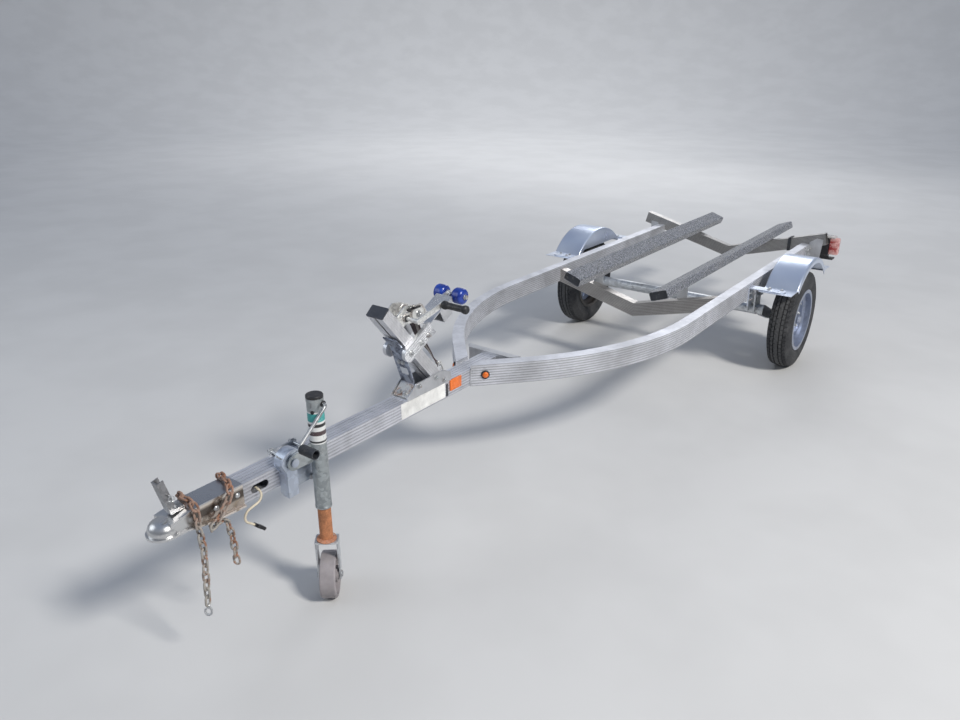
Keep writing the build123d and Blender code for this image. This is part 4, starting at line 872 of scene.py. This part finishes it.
for x, y, z in ((-12, -2449, 528), (12, -2449, 528)):
    root.append(bolt(P(x, y, z), lower, 12.0, 6.0, 9.5, 0.0, 8))
# coupler: round heads on the left, nuts on the right
for y, z in ((-3239, 478), (-3170, 484)):
    root.append(round_head(P(38.5, y, z), (1, 0, 0), 8.5, 5.0))
    root.append(bolt(P(-38.5, y, z), (-1, 0, 0), 15.0, 8.0, 12.0, 6.0, 10))
# jack bracket: nuts on the clamp plate, heads on the backing plate
for y in (-2985, -2905):
    for z in (424, 514):
        root.append(bolt(P(-41, y, z), (-1, 0, 0), 15.0, 8.0, 12.0, 6.0, 20))
        if y == -2905:
            root.append(bolt(P(41, y, z), (1, 0, 0), 15.0, 7.0, 12.0, 0.0, 20))
# winch plates
for sx in (1, -1):
    for y, z in ((-2458, 811), (-2442, 824), (-2422, 833), (-2352, 800), (-2470, 815)):
        root.append(round_head(P(30 * sx, y, z), (sx, 0, 0), 4.2, 2.6))
    root.append(bolt(P(30 * sx if sx < 0 else 36, -2392, 806), (sx, 0, 0), 17.0, 8.0, 12.5, 5.0, 10))
piece("frame_fasteners", *merge(root), bright, "root", "zinc_steel")

# ---------------------------------------------------------------- winch gear, pinion and pawl
def gear(x0, x1, cy, cz, r_in, r_out, teeth):
    verts, faces = [], []
    m = teeth * 4
    for x in (x0, x1):
        for r_kind in (0, 1):
            for i in range(m):
                a = 2 * math.pi * i / m
                r = (r_in - 4.0) if r_kind == 0 else (r_out if i % 4 in (0, 1) else r_in)
                verts.append(P(x, cy + r * math.cos(a), cz + r * math.sin(a)))
    for i in range(m):
        j = (i + 1) % m
        faces += [(i, j, m + j, m + i), (2 * m + i, 2 * m + j, 3 * m + j, 3 * m + i), (m + i, m + j, 3 * m + j, 3 * m + i),
                  (i, j, 2 * m + j, 2 * m + i)]
    return verts, faces


parts = [gear(30.5, 36.6, -2392, 806, 32.6, 35.8, 30), gear(30.5, 38.0, -2452, 806, 10.0, 13.0, 12)]
piece("winch_gears", *merge(parts), galv_rusty, "root", "zinc_steel")
parts = [block((30.5, -2440, 826), (35.5, -2404, 834), 1.2), lathe(P(30, -2436, 830), (1, 0, 0), ((0, 7), (8, 7), (9, 6)), 18),
         block((37.2, -2419, 829), (42, -2385, 836), 1.5), block((38.5, -2462, 795), (41, -2441, 817), 1.2)]
spring = [P(33 + 4.4 * math.cos(k * 0.9), -2436 + 1.1 * k, 838 + 4.4 * math.sin(k * 0.9)) for k in range(26)]
piece("winch_pawl", *merge(parts + [tube(spring, 0.8, 6)]), black, "root", "zinc_steel")

# ---------------------------------------------------------------- coupler latch: rivet heads on its sides, spring, and safety pin with its ring
lean = Vector((0, -0.24, 0.971)).normalized()
back = Vector((0, 0.971, 0.24)).normalized()
foot = P(0, -3345, 512)
parts = []
for sx in (1, -1):
    parts.append(round_head(foot + Vector((0.013 * sx, 0, 0)) + lean * 0.034 + back * 0.002, (sx, 0, 0), 5.5, 3.5))
    parts.append(round_head(foot + Vector((0.013 * sx, 0, 0)) + lean * 0.011 + back * 0.008, (sx, 0, 0), 5.0, 3.5))
coil = [foot + lean * (0.030 + 0.0011 * k) + back * (0.006 + 0.0045 * math.cos(k * 0.8)) + Vector((0.0045 * math.sin(k * 0.8), 0, 0)) for k in range(46)]
parts.append(tube(coil, 1.0, 6))
pin = smooth_path([foot + lean * 0.055 + back * 0.004 + Vector((0.024, 0, 0)), foot + lean * 0.055 + back * 0.004 + Vector((-0.020, 0, 0))], 1)
parts.append(tube(pin, 2.4, 9))
ring = [foot + lean * 0.047 + back * 0.004 + Vector((0.0245, 0, 0)) + (lean * math.sin(a) + back * math.cos(a)) * 0.0085 for a in [math.radians(20 * k) for k in range(18)]]
parts.append(tube(ring, 1.1, 7, True))
piece("latch_hardware", *merge(parts), bright, "root", "zinc_steel")

# ---------------------------------------------------------------- jack
band_v, band_f = [], []
for z in range(0, 27):
    for k in range(25):
        a = math.radians(-165 + 220 * k / 24 + 20)
        band_v.append(P(82 + 25.25 * math.cos(a), -2906 + 25.25 * math.sin(a), 556 + 104 * z / 26))
for z in range(26):
    for k in range(24):
        band_f.append((z * 25 + k, z * 25 + k + 1, (z + 1) * 25 + k + 1, (z + 1) * 25 + k))
piece("jack_bands", band_v, band_f, jack_bands, "jack", "galvanised_steel")
parts = [lathe(P(82, -2906, 334), (0, 0, 1), ((0, 25.6), (0, 25.9), (5, 25.9), (7, 25.2)), 40, False)]
parts = [lathe(P(82, -2906, 331), (0, 0, 1), ((2.8, 21.6), (2.8, 25.9), (9, 25.9), (10, 25.2), (10, 21.6)), 40, True),
         lathe(P(82, -2906, 690), (0, 0, 1), ((0, 25.1), (0, 26.1), (9, 26.1), (9, 25.1)), 40, True)]
piece("jack_collars", *merge(parts), galv_tube, "jack", "galvanised_steel")
parts = [lathe(P(104, -2898, 682), (1, 0, 0), ((0, 9.5), (5.4, 9.5), (7.2, 8.0), (7.2, 5.2)), 24),
         lathe(P(92, -2925, 660), (0.4, -0.9, 0), ((0, 5.5), (5, 5.5), (6, 4.0)), 18)]
piece("jack_grommets", *merge(parts), black, "jack", "black_plastic")
# clip pin through the bracket
pin = smooth_path([P(70, -3052, 566), P(66, -3040, 553), P(62, -3028, 541)], 1)
piece("jack_lock_pin", *tube(pin, 2.6, 10), bright, "root", "zinc_steel")
# grip: ribbed sleeve
prof = [(0, 5.2), (0, 13.6), (1.5, 14.8)]
for k in range(14):
    prof += [(4 + 3.6 * k, 15.0), (5.6 + 3.6 * k, 14.2)]
prof += [(56.5, 15.0), (58, 14.2), (58, 11.6), (30, 11.4), (30, 5.2)]
o = piece("jack_grip_sleeve", *lathe(P(133, -3009, 590), (1, 0, 0), prof, 28, True), black_dusty, "jack", "black_plastic", sharp=30.0)
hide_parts("jack_grip")
# crank: one round bar, bent twice
bar = smooth_path([P(92, -2898, 682), P(114, -2898, 682), P(121, -2903, 678), P(121, -2912, 670.5), P(121, -3000, 597.5),
                   P(122, -3007, 592), P(131, -3009, 590), P(160, -3009, 590)], 3)
o = piece("jack_crank_bar", *tube(bar, 5.6, 14), rod_zinc, "jack", "galvanised_steel")
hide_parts("jack_crank")
# caster axle nuts
yaw = math.radians(40.0)
c, sn = math.cos(yaw), math.sin(yaw)
hubp = P(82 - sn * 6, -2906 + c * 6, 75)
parts = []
for sgn in (1, -1):
    ax = Vector((c * sgn, sn * sgn, 0))
    parts.append(bolt(hubp + ax * 0.0361, ax, 17.0, 3.6, 12.0, 0.0, 10))
piece("caster_nuts", *merge(parts), bright, "caster", "galvanised_steel")

# ---------------------------------------------------------------- bow rollers' bolt with its washers and nuts
parts = [lathe(P(-72, -2173.5, 816), (1, 0, 0), ((0, 4.6), (1.2, 5.6), (5, 5.6), (5.2, 7.9), (138.8, 7.9), (139, 5.6), (142.8, 5.6), (144, 4.6)), 24)]
for sx in (1, -1):
    parts.append(lathe(P(64.3 * sx, -2173.5, 816), (sx, 0, 0), ((0, 9.6), (1.8, 9.6), (2.2, 9.0), (2.2, 8.3)), 28))
    parts.append(bolt(P(66.8 * sx, -2173.5, 816), (sx, 0, 0), 15.0, 6.5, 8.6, 0.0, 8))
o = piece("roller_bolt", *merge(parts), bright, "root", "zinc_steel")
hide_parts("bow_bolt")

# ---------------------------------------------------------------- plates, reflectors and marker lights, all blank
piece("tongue_plate", *block((34.8, -2495, 448), (35.8, -2257, 506), 0.4), white_plate, "root", "plate_aluminium")
piece("tongue_plate_end", *block((34.8, -2252, 448), (36.4, -2241, 496), 0.6), black_dusty, "root", "plate_aluminium")
for sx, side in ((1, "left"), (-1, "right")):
    lo, hi = sorted((34.6 * sx, 39.5 * sx))
    piece("side_reflector_" + side, *block((lo, -2231, 463), (hi, -2165, 507), 1.8), amber, "root", "red_lens")
    # round marker light near the rail's tip
    out = Vector((0.743 * sx, -0.669, 0.0))
    spot = P(73 * sx, -2062, 482) + out * 0.0005
    piece("marker_rim_" + side, *lathe(spot, out, ((-3, 17), (4, 17), (5.5, 15.5), (5.5, 12)), 32), black, "root", "black_plastic")
    piece("marker_lens_" + side, *lathe(spot, out, [(4, 12.4)] + [(5 + 6 * math.sin(a), 12.4 * math.cos(a)) for a in
          [math.radians(d) for d in (0, 18, 36, 54, 72, 86)]], 28), amber, "root", "red_lens")
    # closing plate on the rail's cut end, and the weld round it
    lo, hi = sorted((35.2 * sx, 38.5 * sx))
    piece("rail_tip_" + side, *block((lo, -2102, 507), (hi, -2033, 521.3), 0.5), alu_plate, "root", "plate_aluminium")
    bead = [P(36.5 * sx + 0.5 * math.sin(k * 1.9), -2105 + k * 2.0, 508.4 + 0.4 * math.sin(k * 2.3)) for k in range(38)]
    rise = [P(36.2 * sx + 0.4 * math.sin(k * 2.1), -2106 + 0.5 * math.sin(k * 1.7), 440 + k * 2.0) for k in range(34)]
    piece("rail_weld_" + side, *merge([tube(bead, 3.0, 8), tube(rise, 3.0, 8)]), alu_plate, "root", "plate_aluminium")

# ---------------------------------------------------------------- near tail light: clear top and the red lens body
parts = [block((606, 797, 562), (640, 842, 574), 3.0), block((576, 797, 560), (608, 842, 576), 3.0)]
piece("tail_light_clear", *merge(parts), clear_lens, "root", "red_lens")
o = block((606.5, 800, 460), (662, 844, 563), 9.0)
lens = piece("tail_lens_body", *o, red_lens, "root", "red_lens")
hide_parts("tail_lens_left")
# dark band round the rear cross member
k = 160 / 594
parts = []
for x0 in (384,):
    path = [(x0, 741, -40), (x0, 741, 40), (x0, 799, 40), (x0, 799, -40)]
    ring = [P(x, y, 403 + x * k + dz) for x, y, dz in path]
    v, f = [], []
    for dx in (-9, 9):
        for t in (0.0, 1.5):
            for (x, y, dz) in path:
                oy, oz = (-t if y < 770 else t), (t if dz > 0 else -t)
                v.append(P(x + dx, y + oy, 403 + (x + dx) * k + dz + oz))
    for i in range(4):
        j = (i + 1) % 4
        f += [(i, j, 4 + j, 4 + i), (8 + i, 8 + j, 12 + j, 12 + i), (4 + i, 4 + j, 12 + j, 12 + i), (i, j, 8 + j, 8 + i)]
    parts.append((v, f))
piece("beam_dark_band", *merge(parts), black_dusty, "root", "webbing")

# ---------------------------------------------------------------- floor, lights
floor = bmesh.new()
rings = [(0.0, 0.0), (8.0, 0.0), (14.0, 0.0)] + [(14.0 + 12.0 * math.sin(a), 12.0 - 12.0 * math.cos(a)) for a in
                                                [math.radians(5 * k) for k in range(1, 17)]]
rows = []
for r, z in rings[1:]:
    rows.append([floor.verts.new((r * math.cos(a), r * math.sin(a), z)) for a in [math.radians(5 * k) for k in range(72)]])
floor.faces.new(rows[0])
for a, b in zip(rows, rows[1:]):
    for k in range(72):
        floor.faces.new((b[k], b[(k + 1) % 72], a[(k + 1) % 72], a[k]))
me = bpy.data.meshes.new("studio_floor")
floor.to_mesh(me)
floor.free()
for f in me.polygons:
    f.use_smooth = True
me.materials.append(floor_skin)
ground = bpy.data.objects.new("studio_floor", me)
bpy.context.scene.collection.objects.link(ground)

world = bpy.data.worlds.new("studio")
bpy.context.scene.world = world
world.use_nodes = True
wn = world.node_tree
back_node = wn.nodes["Background"]
coord = wn.nodes.new("ShaderNodeTexCoord")
split_node = wn.nodes.new("ShaderNodeSeparateXYZ")
ramp_node = wn.nodes.new("ShaderNodeValToRGB")
wn.links.new(coord.outputs["Generated"], split_node.inputs[0])
wn.links.new(split_node.outputs[2], ramp_node.inputs[0])
ramp_node.color_ramp.elements[0].color = (0.80, 0.80, 0.80, 1)
ramp_node.color_ramp.elements[1].color = (0.50, 0.62, 0.86, 1)
ramp_node.color_ramp.elements[1].position = 0.9
wn.links.new(ramp_node.outputs[0], back_node.inputs[0])
back_node.inputs[1].default_value = 0.42


def area(name, at, look, size, power, colour=(1, 1, 1)):
    light = bpy.data.lights.new(name, "AREA")
    light.shape, light.size, light.energy, light.color = "DISK", size, power, colour
    o = bpy.data.objects.new(name, light)
    o.location = at
    o.rotation_euler = (Vector(look) - Vector(at)).to_track_quat("-Z", "Y").to_euler()
    bpy.context.scene.collection.objects.link(o)


area("key", (7.0, -1.6, 6.6), (0, -0.4, 0.3), 1.8, 760.0, (1.0, 0.97, 0.92))
area("fill", (-5.0, -6.0, 4.0), (0, -0.5, 0.4), 5.0, 110.0, (0.90, 0.95, 1.0))
area("rim", (-2.5, 7.5, 5.0), (0, 0.0, 0.4), 4.0, 150.0)
area("backdrop", (-6.0, 8.5, 9.0), (-11.0, 15.0, 1.5), 7.0, 900.0)
bpy.context.scene.view_settings.view_transform = "Standard"
